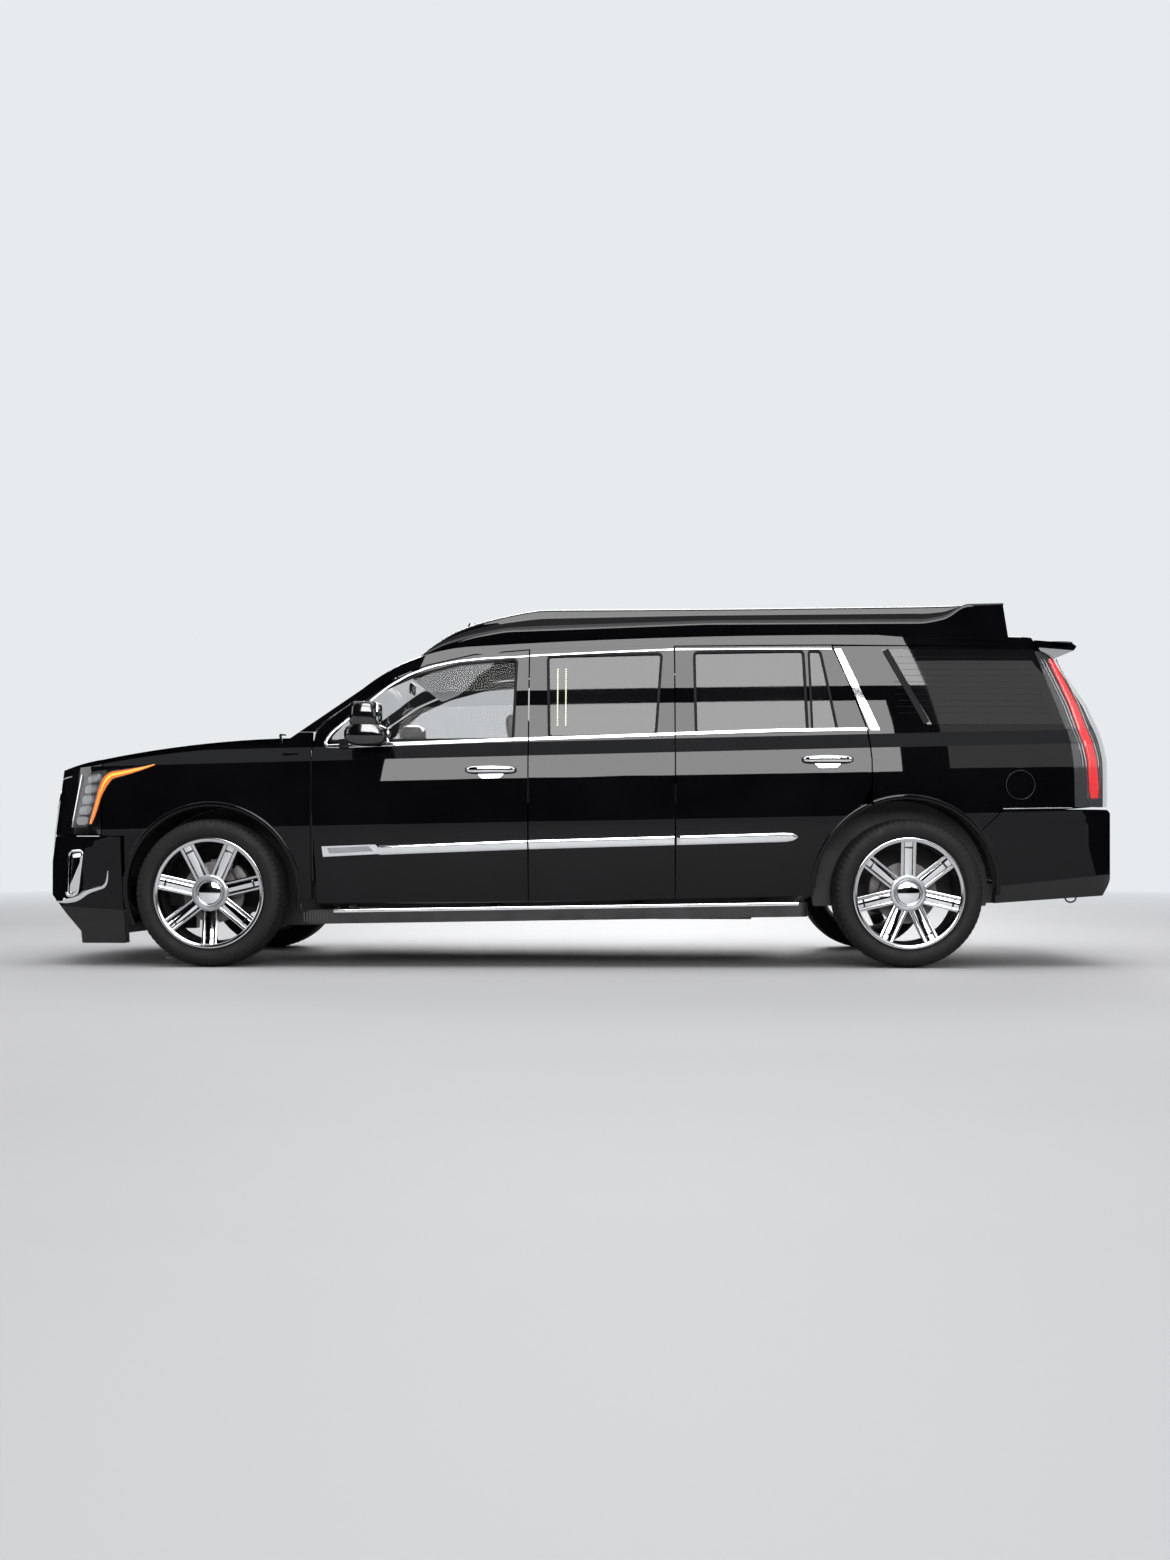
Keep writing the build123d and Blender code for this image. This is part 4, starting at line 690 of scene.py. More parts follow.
def tyre_bits(centre):
    """A tyre: a section with four round-going grooves, turned about the axle. Its shoulders step in by
    4.5 mm at 76 even slots, and the middle ribs by 3 mm at slots that lean with the section."""
    half = np.array(TREAD, float)
    section = np.concatenate([half, half[-2::-1] * [-1, 1]])
    slots = 76

    def wave(angle, profile):
        """Radii of the section at each angle, less the depth of the slots."""
        a, r = profile[:, 0], profile[:, 1]
        shoulder = np.interp(np.abs(a), [84, 97, 134, 139], [0, 1, 1, 0]) * (r > 355)
        middle = (np.abs(a) < 84) & (r > 390)
        lean = slots * angle[:, None] + a / 26
        notch = np.clip((np.cos(lean) - 0.45) * 4, 0, 1)
        return r - notch * (shoulder * 4.5 + middle * 3.0)

    return [turned(section, centre, "y", slots * 5, wave=wave)]


def rim_bits(centre, side):
    """The bright front of a rim: a flat lip and a step down to the spokes, turned from one section."""
    section = np.array([(108, 284), (114, 291), (116, 297), (124, 297), (128, 294), (129, 290), (127, 279),
                        (124, 274), (116, 271.5), (92, 269), (62, 266.5), (60, 268), (62, 280)], float)
    section[:, 0] *= side
    return [turned(section, centre, "y", 168)]


def barrel_bits(centre, side):
    """The dark barrel behind it, out to the inner flange."""
    section = np.array([(61, 267), (-90, 263), (-126, 284), (-126, 297), (-116, 297), (-114, 289),
                        (-70, 281.5), (60, 280)], float)
    section[:, 0] *= side
    return [turned(section, centre, "y", 96)]


def outward(side, angle):
    """The radial direction at an angle and the axle's outward one."""
    return np.array([math.cos(angle), 0, math.sin(angle)]), np.array([0, side, 0.0])


def radial_bar(centre, side, angle, r0, r1, half0, half1, floor, face, shoulder=3.0, offset=0.0, dish=24.0):
    """A bar along a radius: its section is a trapezoid with eased shoulders, and its half width goes
    from half0 to half1. floor and face are heights along the axle, which rise by dish from radius 90
    to 280, and offset a shift to one side."""
    radial, axial = outward(side, angle)
    tangent = np.cross(axial, radial)
    radii = np.linspace(r0, r1, 5)
    half = np.interp(radii, [r0, r1], [half0, half1])[:, None]
    across = np.array([-1.0, -1.0, -0.99, -1.0, 1.0, 0.99, 1.0, 1.0])
    ease = np.array([0, 0, 0, shoulder, -shoulder, 0, 0, 0])
    height = np.array([floor, face - shoulder, face - shoulder * 0.4, face, face, face - shoulder * 0.4,
                       face - shoulder, floor])
    t = half * across + ease + offset
    rise = dish * np.clip((radii - 90) / 190, 0, 1) ** 1.5
    pts = (np.asarray(centre, float) + radii[:, None, None] * radial + t[..., None] * tangent
           + (height + rise[:, None])[..., None] * axial)
    return grid(pts)


def spoke_angles(phase):
    """The angles of the spokes, from the first one on."""
    return [phase + k * 2 * math.pi / SPOKES for k in range(SPOKES)]


def spoke_bits(centre, side, phase):
    """The spokes, each of two ribs with a web behind them."""
    bits = []
    for angle in spoke_angles(phase):
        bits.append(radial_bar(centre, side, angle, 84, 277, 32, 37, 46, 78, 2))
        for rib in (-1, 1):
            bits.append(radial_bar(centre, side, angle, 90, 280, 7.5, 8.5, 52, 93.5, 2.5, rib * 31.5))
    return bits


def plate_bits(centre, side, phase):
    """The bright insets between the ribs of each spoke, in two lengths."""
    bits = []
    for angle in spoke_angles(phase):
        bits.append(radial_bar(centre, side, angle, 98, 236, 19, 20, 74, 88.5, 1.5))
        bits.append(radial_bar(centre, side, angle, 247, 274, 20, 20.5, 74, 89.5, 1.5))
    return bits


def gap_bits(centre, side, phase):
    """The dark bed under those insets."""
    return [radial_bar(centre, side, angle, 88, 278, 23.5, 23.5, 70, 80.5, 1)
            for angle in spoke_angles(phase)]


def hub_bits(centre, side):
    """The satin hub disc: a flat ring with eased edges, hollow behind."""
    section = np.array([(62, 40), (70, 96), (84, 99), (94, 97), (98, 92), (99, 86), (98, 76), (94, 72),
                        (70, 70), (66, 34), (44, 33.5), (44, 40)], float) * [side, 1]
    return [turned(section, centre, "y", 84)]


def cap_bits(centre, side):
    """The blank centre cap: a bright ring, a groove and a shallow dome."""
    ring = np.array([(84, 71), (99, 71), (103, 68), (103, 64), (99, 61), (84, 61)], float) * [side, 1]
    dome = np.array([(70, 0.01), (70, 60), (94, 60), (99, 57), (101, 50), (103.5, 35), (105, 18),
                     (105.4, 0.01)]) * [side, 1]
    return [turned(ring, centre, "y", 84), turned(dome, centre, "y", 84)]


def disc_bits(centre, side):
    """A vented brake disc with its bell, as one closed section."""
    section = np.array([(-28, 60), (-28, 95), (-25, DISC_R), (-1, DISC_R), (2, 95), (30, 88), (34, 80),
                        (34, 40), (26, 40), (-10, 60)], float) * [side, 1]
    return [turned(section, centre, "y", 72)]


def caliper_bits(centre, side, angle):
    """A caliper: a rounded block bent round the disc's edge."""
    bend = angle + np.linspace(-0.42, 0.42, 9)
    path = np.asarray(centre, float) + (DISC_R + 8) * np.stack(
        [np.cos(bend), np.zeros(9), np.sin(bend)], 1) + [0, -side * 10, 0]
    swell = 1 - 0.25 * np.abs(np.linspace(-1, 1, 9)) ** 3
    return [sweep(path, oval(20, 66, 70, 0.4), (0, side, 0), np.repeat(swell[:, None], 2, 1))]


HOUSE_Y = {"front": 505.0, "rear": 700.0}
SPLASH = {"front": (1436, 1650, 203), "rear": (-2290, -2150, 335)}     # its ends and its foot


def house_bits(end, side):
    """The inner wall of a wheel house: a plate with a round top, and the splash plate that carries it
    down behind the wheel."""
    x, z, r = ARCHES[end]
    y = HOUSE_Y[end]
    angle = np.radians(np.linspace(-11, 191, 48))
    rim = np.stack([x + (r - 6) * np.cos(angle), z + (r - 6) * np.sin(angle)], 1)
    low = np.stack([np.linspace(rim[0, 0], rim[-1, 0], 48), np.full(48, rim[0, 1] - 2)], 1)
    rows = np.stack([low, (low * 2 + rim) / 3, (low + rim * 2) / 3, rim])
    sheet = [np.stack([rows[..., 0], np.full(rows.shape[:2], side * (y + t)), rows[..., 1]], -1)
             for t in (0.0, 3.0)]
    ring = np.concatenate([sheet[0], sheet[1][::-1]])
    x0, x1, z0 = SPLASH[end]
    y0, y1 = sorted((side * y, side * (y + 3)))
    return [grid(np.transpose(ring, (1, 0, 2))), block(x0, x1, y0, y1, z0, 440, 0.5)]


class LIMO_OT_wheels(bpy.types.Operator):
    """Make the tyres, rims, insets, caps and brakes"""

    bl_idname = "limo.wheels"
    bl_label = "Wheels"

    def execute(self, context):
        for end, x in AXLE.items():
            for hand, side in SIDES:
                place = f"{end}_{hand}"
                body = f"wheel_{place}"
                centre = (x, side * WHEEL_Y, TYRE_R)
                phase = math.pi / 2 if end == "rear" else -math.pi / 2
                make(f"{place}_tyre", tyre_bits(centre), "tyre", body, stands_for=(f"tyre_{place}",),
                     sharp=30)
                make(f"{place}_rim", rim_bits(centre, side) + spoke_bits(centre, side, phase), "rim", body,
                     stands_for=(f"rim_{place}",))
                make(f"{place}_barrel", barrel_bits(centre, side), "steel_dark", body, "chrome")
                make(f"{place}_hub", hub_bits(centre, side), "satin", body)
                make(f"{place}_insets", plate_bits(centre, side, phase), "chrome", body)
                make(f"{place}_inset_beds", gap_bits(centre, side, phase), "gloss_plastic", body)
                make(f"{place}_cap", cap_bits(centre, side), "chrome", body)
                make(f"{place}_disc", disc_bits(centre, side), "cast_iron", body)
                holder = f"knuckle_{hand}" if end == "front" else "chassis"
                make(f"{place}_caliper", caliper_bits(centre, side, 2.7 if end == "front" else 0.4),
                     "cast_iron", holder)
                make(f"{place}_house", house_bits(end, side), "black_plastic")
        return {"FINISHED"}


# ---- front corners ------------------------------------------------------------------------------
CORNER_R, CORNER_Y = 420.0, 545.0


def corner_x(z):
    """X of the middle of the rounded front corner, which leans back by 0.11 a millimetre."""
    return NOSE - 390 - 0.11 * (z + 300)


def body_y(x, z):
    """Y of the left side, cut off ahead by the rounded corner."""
    x, z = np.asarray(x, float), np.asarray(z, float)
    ahead = x - corner_x(z)
    bend = CORNER_Y + np.sqrt(np.clip(CORNER_R ** 2 - ahead ** 2, 0, None))
    return np.where(ahead > 0, np.minimum(side_y(x, z), bend), side_y(x, z))


def corner_point(angle, z, inset=0.0):
    """A point on the front corner: a circle about an axis that leans back, held inside the side skin."""
    x = corner_x(z) + (CORNER_R - inset) * np.cos(angle)
    y = CORNER_Y + (CORNER_R - inset) * np.sin(angle)
    return np.stack([x, np.minimum(y, side_y(x, z) - inset), z + 0 * x], -1)


def nose_x(y, z):
    """X of the front face: an arc of 2.6 m radius, set back by the profile."""
    return NOSE - 2600 + np.sqrt((2600 - nose_inset(z)) ** 2 - np.asarray(y, float) ** 2)


# ---- bands and slabs on the side ----------------------------------------------------------------
def softened(points, radius, closed=False, steps=6):
    """The path with each corner replaced by a bend: a parabola between points one radius away on its
    two runs."""
    p = np.asarray(points, float)
    radius = np.broadcast_to(radius, len(p))
    out = []
    last = len(p) if closed else len(p) - 1
    if not closed:
        out.append(p[:1])
    for i in range(0 if closed else 1, last):
        a, b, c = p[i - 1], p[i], p[(i + 1) % len(p)]
        ab, cb = np.linalg.norm(a - b), np.linalg.norm(c - b)
        r = min(radius[i], ab * 0.49, cb * 0.49)
        s, e = b + (a - b) * r / ab, b + (c - b) * r / cb
        t = np.linspace(0, 1, steps)[:, None]
        out.append((1 - t) ** 2 * s + 2 * t * (1 - t) * b + t ** 2 * e)
    if not closed:
        out.append(p[-1:])
    return np.concatenate(out)


def crossline(x, half, z, count):
    """A straight line across the car, from the right side to the left one."""
    return np.stack([np.full(count, float(x)), np.linspace(-half, half, count), np.full(count, float(z))], 1)


def even(points, step, closed=False):
    """Points at even lengths on an open or closed path."""
    p = np.asarray(points, float)
    if closed:
        p = np.concatenate([p, p[:1]])
    q = spaced(p, step)
    return q[:-1] if closed else q


def side_band(points, width, height, out=0.0, radius=40.0, closed=False, step=12.0, widths=None,
              power=0.55, depths=((0, 1), (1, 1))):
    """A closed oval section carried along a softened path on the body side. widths and depths are
    (run, factor) pairs of its width and height along the path, from 0 to 1."""
    xz = even(softened(points, radius, closed), step, closed)
    y = body_y(xz[:, 0], xz[:, 1])
    path = np.stack([xz[:, 0], y, xz[:, 1]], 1)
    normal = band_normal(xz)
    path = path + normal * out
    scale = None
    if widths:
        run = np.linspace(0, 1, len(path))
        factor = np.interp(run, *zip(*widths))
        scale = np.stack([factor, np.interp(run, *zip(*depths))], 1)
    return sweep(path, oval(14, width, height, power), normal, scale, closed)


def band_normal(xz):
    """The outward direction of the side with its front corner."""
    x, z = xz[:, 0], xz[:, 1]
    dx = (body_y(x + 2, z) - body_y(x - 2, z)) / 4
    dz = (body_y(x, z + 2) - body_y(x, z - 2)) / 4
    n = np.stack([-dx, np.ones_like(dx), -dz], 1)
    return n / np.linalg.norm(n, axis=1, keepdims=True)


def side_slab(corners, low, high, rows=24, cols=9, ease=2.0, surface=body_y):
    """A plate on the body side between four (X, Z) corners, from low to high above the skin, with
    eased edges: the corners are blended evenly both ways."""
    a, b, c, d = (np.array(p, float) for p in corners)
    u = np.linspace(0, 1, rows)[:, None, None]
    v = np.concatenate([[0, 0], np.linspace(0, 1, cols), [1, 1]])[None, :, None]
    lift = np.concatenate([[low, high - ease], np.full(cols, high), [high - ease, low]])
    v[0, 2, 0], v[0, -3, 0] = 0.03, 0.97
    xz = (a * (1 - u) + b * u) * (1 - v) + (d * (1 - u) + c * u) * v
    y = surface(xz[..., 0], xz[..., 1]) + lift
    return grid(np.stack([xz[..., 0], y, xz[..., 1]], -1))


def both(bits):
    """The bits, and the same on the right side."""
    return bits + [mirrored(b) for b in bits]


RAIL_FRONT = [(254, 1664), (500, 1653), (653, 1636), (787, 1607), (901, 1563), (1006, 1501), (1100, 1423),
              (1207, 1332), (1306, 1250), (1338, 1200), (1330, 1177), (1181, 1180), (952, 1188), (254, 1213)]
WINDOWS = {
    "front_door": [(332, 1214), (317, 1648), (624, 1624), (850, 1565), (1040, 1480), (1170, 1385),
                   (1310, 1230), (1308, 1206)],
    "chassis": [(140, 1224), (150, 1666), (-461, 1680), (-428, 1240)],
    "rear_door": [(-641, 1246), (-635, 1686), (-1220, 1694), (-1233, 1256)],
}
VENT = [(-1258, 1258), (-1249, 1694), (-1312, 1692), (-1392, 1262)]
ARCHES = {"front": (1947.0, 398.0, 460.0), "rear": (-1755.0, 412.0, 483.0)}


def arch_lip(end, start, stop, width=26.0, height=16.0):
    """A rolled lip round a wheel arch between two angles."""
    x, z, r = ARCHES[end]
    angle = np.radians(np.linspace(start, stop, 60))
    points = np.stack([x + (r + 11) * np.cos(angle), z + (r + 11) * np.sin(angle)], 1)
    return side_band(points, width, height, -1.0, 1.0, step=10.0)


def per_side(name, bits, finish, body="chassis", slot=None):
    """A left piece and its mirror image, each on the body of its own side."""
    for hand, _ in SIDES:
        these = bits if hand == "left" else [mirrored(b) for b in bits]
        owner = body if body == "chassis" else f"{body}_{hand}"
        make(f"{name}_{hand}", these, finish, owner, slot)


class LIMO_OT_brightwork(bpy.types.Operator):
    """Make the bright bands round the windows, the side moulding and the dark seals"""

    bl_idname = "limo.brightwork"
    bl_label = "Brightwork"

    def execute(self, context):
        run = [(0, 0.75), (0.42, 0.75), (0.52, 1.1), (0.56, 1.6), (1, 1.6)]
        per_side("window_band_front_door", [side_band(RAIL_FRONT, 13, 9, 1, 45, widths=run)], "chrome",
                 "front_door")
        per_side("window_band_middle",
                 [side_band([(246, 1667), (-150, 1685), (-526, 1700)], 11, 9, 1),
                  side_band([(246, 1213), (-115, 1225), (-526, 1239)], 20, 9, 1)], "chrome")
        per_side("window_band_rear_door",
                 [side_band([(-534, 1700), (-1000, 1703), (-1372, 1703)], 11, 9, 1),
                  side_band([(-534, 1240), (-1076, 1258), (-1548, 1265)], 20, 9, 1)], "chrome", "rear_door")
        per_side("window_band_rear_post",
                 [side_slab([(-1388, 1702), (-1566, 1262), (-1618, 1262), (-1424, 1702)], -4, 7, 40, 7, 3)],
                 "chrome")
        moulding = {"front_door": [(1040, 623), (254, 653)], "chassis": [(246, 653), (-524, 675)],
                    "rear_door": [(-537, 675), (-1174, 694)]}
        for body, ends in moulding.items():
            taper = [(0, 1), (0.9, 1), (0.97, 0.75), (1, 0.15)] if body == "rear_door" else [(0, 1), (1, 1)]
            depth = [(0, 0.35), (0.03, 1), (1, 1)] if body == "rear_door" else [(0, 1), (1, 1)]
            bits = [side_band(ends, 50, 26, 1, step=10, widths=taper, power=0.4, depths=depth)]
            if body == "front_door":
                bits.append(side_slab([(1347, 645), (1060, 655), (1016, 603), (1340, 586)], -3, 14, 30, 9, 4))
            per_side(f"side_moulding_{body}", bits, "chrome", body)
        per_side("moulding_plate",
                 [side_slab([(1318, 637), (1098, 646), (1066, 618), (1306, 605)], 8, 15.2, 26, 7, 1)],
                 "satin", "front_door")
        for body, outline in WINDOWS.items():
            bits = [side_band(outline, 15, 8, -1, 22, closed=True, step=14)]
            if body == "rear_door":
                bits.append(side_band(VENT, 13, 8, -1, 16, closed=True, step=14))
            per_side(f"window_seal_{body}", bits, "rubber", body)
        return {"FINISHED"}


def board_top(x):
    """Height of the running board's tread, which rises towards the rear."""
    return 305 + (1449 - x) * 0.0161


class LIMO_OT_sides(bpy.types.Operator):
    """Make the door handles, arch lips, running-board trims, quarter glass and mirrors"""

    bl_idname = "limo.sides"
    bl_label = "Body sides"

    def execute(self, context):
        for body, (x0, x1, z) in {"front_door": (577, 317, 1047), "rear_door": (-1204, -1464, 1101)}.items():
            t = np.linspace(-1, 1, 41)
            x = (x0 + x1) / 2 + (x0 - x1) / 2 * t
            reach = 6 + 34 * np.clip((1 - np.abs(t) ** 5), 0, 1) ** 0.5
            zz = z + 4 - 3 * t ** 2
            path = np.stack([x, side_y(x, zz) + reach, zz], 1)
            swell = np.stack([1 - 0.35 * np.abs(t) ** 6, 1 - 0.3 * np.abs(t) ** 4], 1)
            bar = sweep(path, oval(24, 34, 20, 0.62), (0, 1, 0), swell)
            lower = side_slab([(x0 - 62, z - 22), (x1 + 62, z - 21), (x1 + 84, z - 42), (x0 - 84, z - 43)],
                              -2, 13, 20, 7, 4)
            per_side(f"handle_{body}", [bar, lower], "chrome", body)
            # The handle's recess isn't cut into the panel: a black gloss dish lying on the skin round the
            # handle is painted shade of that recess.
            cup = np.linspace(0, 2 * np.pi, 40, endpoint=False)
            rim = np.stack([(x0 + x1) / 2 + 92 * np.cos(cup), z - 4 + 30 * np.sin(cup)], 1)
            middle = rim.mean(0)
            layers = [on_side(middle + (rim - middle) * ring, lift) for ring, lift in
                      ((0.02, 1.2), (0.6, 1.2), (0.92, 1.0), (1.0, 0.4), (1.0, -3.0))]
            per_side(f"handle_cup_{body}", [grid(np.stack(layers))], "gloss_plastic", body)
        per_side("front_arch_lip", [arch_lip("front", -22, 191)], "body_paint")
        per_side("rear_arch_lip", [arch_lip("rear", 69, 183)], "body_paint")
        per_side("rear_door_arch_lip", [arch_lip("rear", 1, 64.5)], "body_paint", "rear_door")
        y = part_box("running_boards")[1].y / MM
        x = np.linspace(1283, -1180, 60)
        top = board_top(x)
        edge = np.stack([x, np.full(60, y - 1.0), top - 8], 1)
        strip = sweep(edge, oval(14, 17, 7, 0.5), (0, 1, 0))
        per_side("board_bright_strip", [strip], "chrome")
        ribs = []
        for k in range(7):
            line = np.stack([x, np.full(60, y - 16 - 13.0 * k), top + 1.0], 1)
            ribs.append(sweep(line, oval(8, 7, 6, 0.6), (0, 0, 1)))
        per_side("board_tread", ribs, "rubber")
        ends = []
        for k in range(9):
            xx = 1440 - 15.0 * k
            zz = board_top(xx)
            ends.append(block(xx - 4.5, xx + 4.5, y - 3, y + 2.0, zz - 66, zz - 12, 1.0))
        per_side("board_end_ribs", ends, "black_plastic")
        glass = [(-1640, 1702), (-1870, 1292), (-2600, 1292), (-2462, 1702)]
        per_side("quarter_glass", [side_slab(glass, -3, 2.2, 60, 24, 1.5)], "dark_glass")
        lines = [side_slab([(-1700 - 20 * (k % 2), 1660 - 34 * k), (-2430 - 11 * k, 1660 - 34 * k),
                            (-2430 - 11 * k, 1658.6 - 34 * k), (-1700 - 20 * (k % 2), 1658.6 - 34 * k)],
                           1.6, 2.6, 30, 3, 0.2) for k in range(10)]
        per_side("quarter_glass_lines", lines, "rubber", "chassis", "dark_glass")
        gasket = side_band([(-1662, 1696), (-1868, 1300)], 34, 9, 2.5, step=10, power=0.4)
        per_side("quarter_glass_gasket", [gasket], "rubber")
        ring = np.linspace(0, 2 * np.pi, 60, endpoint=False)
        hoop = np.stack([-2356 + 76.5 * np.cos(ring), 969 + 76.5 * np.sin(ring)], 1)
        line = sweep(on_side(hoop, 0.0), oval(8, 2.4, 2, 1.0), side_normal(hoop), None, True)
        make("fuel_door_ring", [line], "steel_dark", "fuel_door", "chrome")
        # Warm glowing dots laid on the middle window's outer face, where there is no lamp: painted light for
        # the dotted lights seen in that window.
        dots = []
        for column in (96.0, 52.0):
            for z in np.linspace(1290, 1592, 26):
                spot = on_side([(column, z)], 0.6)[0]
                dots.append(turned([(-1.5, 0.01), (-1.5, 3.6), (1.0, 3.4), (1.8, 0.01)], spot, "y", 8))
        per_side("painted_light_dots", dots, "painted_glow_warm")
        self.mirrors()
        return {"FINISHED"}

    def mirrors(self):
        """A head in two stacked parts, each a run of superellipse rings, with its glass and its foot."""
        low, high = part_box("mirror_left")
        y0, y1 = low.y / MM, high.y / MM
        middle = (max(y0, y1 - 240) + y1) / 2
        half = y1 - middle
        lower = np.array([  # z, middle x, half x, half y as a part of the head's
            (1172, 1090, 10, 0.25), (1174, 1090, 62, 0.62), (1182, 1093, 92, 0.84),
            (1200, 1096, 112, 0.95), (1226, 1096, 118, 0.98), (1252, 1098, 114, 0.97),
            (1270, 1100, 100, 0.95), (1280, 1102, 82, 0.94)])
        upper = np.array([
            (1276, 1104, 62, 0.86), (1284, 1104, 76, 0.94), (1300, 1106, 79, 0.98),
            (1345, 1106, 77, 1.0), (1385, 1107, 72, 0.98), (1402, 1108, 62, 0.88),
            (1408, 1108, 44, 0.62), (1410, 1108, 10, 0.2)])
        heads = []
        ring = oval(48, 2, 2, 0.5)
        for rows in (lower, upper):
            pts = np.stack([rows[:, 1, None] + rows[:, 2, None] * ring[:, 0],
                            middle + half * rows[:, 3, None] * ring[:, 1],
                            np.broadcast_to(rows[:, :1], (len(rows), 48))], -1)
            heads.append(grid(pts))
        foot_y = np.linspace(side_y(1130, 1215) - 8, middle, 12)
        foot = np.stack([np.linspace(1150, 1110, 12), foot_y, np.linspace(1206, 1214, 12)], 1)
        foot = sweep(foot, oval(24, 74, 44, 0.6), (0, 0, 1))
        per_side("mirror_shell", [heads[1], foot], "gloss_plastic", "front_door")
        per_side("mirror_base", [heads[0]], "gloss_plastic", "front_door")
        glass = oval(40, 1, 1, 0.45)
        pane = np.stack([np.stack([np.full(40, 1029.0 - d), middle + half * 1.6 * s * glass[:, 0],
                                   1342 + 104 * s * glass[:, 1]], 1)
                         for d, s in ((-6, 1.0), (0, 1.0), (1.5, 0.97), (1.6, 0.4))])
        per_side("mirror_glass", [grid(pane)], "chrome", "front_door")
        sill = side_band([(1262, 1186), (1210, 1190)], 60, 10, 2)
        per_side("mirror_sail", [sill], "gloss_plastic", "front_door")
        for hand, _ in SIDES:
            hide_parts(f"mirror_{hand}")


# ---- lamps, grille and bumpers -------------------------------------------------------------------
def lamp_top(angle):
    """Height of the headlamp's upper edge at an angle, in degrees, round the corner."""
    return np.interp(angle, [50, 56, 65, 77, 84], [1008, 1018, 1036, 1050, 1054])


LAMP_FOOT = 746.0
LAMP_V = np.linspace(0, 1, 24)
LAMP_FRONT = 56.0 + 4.6 * LAMP_V                       # degrees, from the lower edge to the upper one
LAMP_REAR = np.interp(LAMP_V, [0, 0.07, 0.4, 0.65, 0.85, 1], [69, 74.0, 75.8, 77.6, 79.6, 80.5])


def lamp_patch(v, start, stop, low, high, cols=22):
    """A shell on the front corner, from low to high proud of the skin. v runs from the lamp's lower
    edge, 0, to its upper edge, 1; start and stop are the angles of its ends at each v."""
    v = np.asarray(v, float)
    start, stop = np.broadcast_to(start, len(v)), np.broadcast_to(stop, len(v))
    t = np.linspace(0, 1, cols)
    angle = start[:, None] * (1 - t) + stop[:, None] * t
    z = LAMP_FOOT + v[:, None] * (lamp_top(angle) - LAMP_FOOT)
    outer = corner_point(np.radians(angle), z, -high)
    inner = corner_point(np.radians(angle), z, -low)
    return grid(np.concatenate([outer, inner[:, ::-1]], 1))


def headlamp_parts():
    """The left headlamp's bits by finish: bed, lens, five stacked elements on bright plates, the line
    along its front edge, and the amber bar up its rear edge and back along the fender."""
    parts = {"lamp_clear": [lamp_patch(LAMP_V, LAMP_FRONT, LAMP_REAR, 9.0, 11.0)],
             "gloss_plastic": [lamp_patch(LAMP_V, LAMP_FRONT - 0.5, LAMP_REAR + 0.3, -2, 1.5)]}
    edge = np.radians(LAMP_FRONT - 0.3)
    z = LAMP_FOOT + LAMP_V * (lamp_top(LAMP_FRONT) - LAMP_FOOT)
    path = corner_point(edge, z, -5.0)
    out = path - corner_point(edge, z, 30.0)
    out /= np.linalg.norm(out, axis=1, keepdims=True)
    parts["chrome"] = [sweep(path, oval(10, 9, 14, 0.6), out)]
    parts["satin"], parts["lamp_element"] = [], []
    for k in range(5):
        v = 0.12 + 0.19 * k
        rows = np.linspace(v - 0.078, v + 0.078, 9)
        middle = 64.6 + 1.6 * k
        bow = np.sqrt(1 - np.abs(np.linspace(-1, 1, 9)) ** 4 * 0.75)
        parts["satin"].append(lamp_patch(rows, middle - 5.4 * bow, middle + 5.2 * bow, 0.5, 3.5, 9))
        eye = np.linspace(v - 0.05, v + 0.05, 9)
        parts["lamp_element"].append(lamp_patch(eye, middle - 3.6 * bow, middle + 3.4 * bow, 3.0, 7.6, 9))
    rise = np.array([(2597, 764), (2569, 850), (2549, 925), (2520, 992), (2490, 1024), (2400, 1041),
                     (2310, 1062), (2252, 1080)])
    path = even(softened(rise, 30), 8)
    pts = np.stack([path[:, 0], body_y(path[:, 0], path[:, 1]), path[:, 1]], 1)
    normal = band_normal(path)
    run = np.linspace(0, 1, len(pts))
    taper = np.interp(run, [0, 0.05, 0.3, 0.46, 0.55, 0.8, 1], [0.5, 0.75, 1.0, 1.7, 1.5, 0.85, 0.2])
    flat = np.ones_like(taper)
    wide = np.stack([taper, flat], 1)
    parts["lamp_amber"] = [sweep(pts + normal * 2, oval(14, 25, 10, 0.6), normal, wide)]
    core = np.interp(run, [0, 0.3, 0.44, 0.52, 0.8, 1], [0.3, 0.4, 0.7, 1.1, 0.7, 0.15])
    parts["lamp_glow"] = [sweep(pts + normal * 4, oval(12, 15, 8.5, 0.7), normal, np.stack([core, flat], 1))]
    parts["lens_strip"] = [sweep(pts + normal * 6, oval(14, 34, 8, 0.5), normal, wide)]
    return parts


def front_line(points, width, height, out=0.0, closed=False, radius=20.0):
    """A band on the front face along (Y, Z) points."""
    yz = even(softened(points, radius, closed), 14, closed)
    path = np.stack([nose_x(yz[:, 0], yz[:, 1]) + out, yz[:, 0], yz[:, 1]], 1)
    return sweep(path, oval(12, width, height, 0.5), (1, 0, 0), None, closed)


GRILLE_Z, BAR_PITCH = (480, 952), 67.5


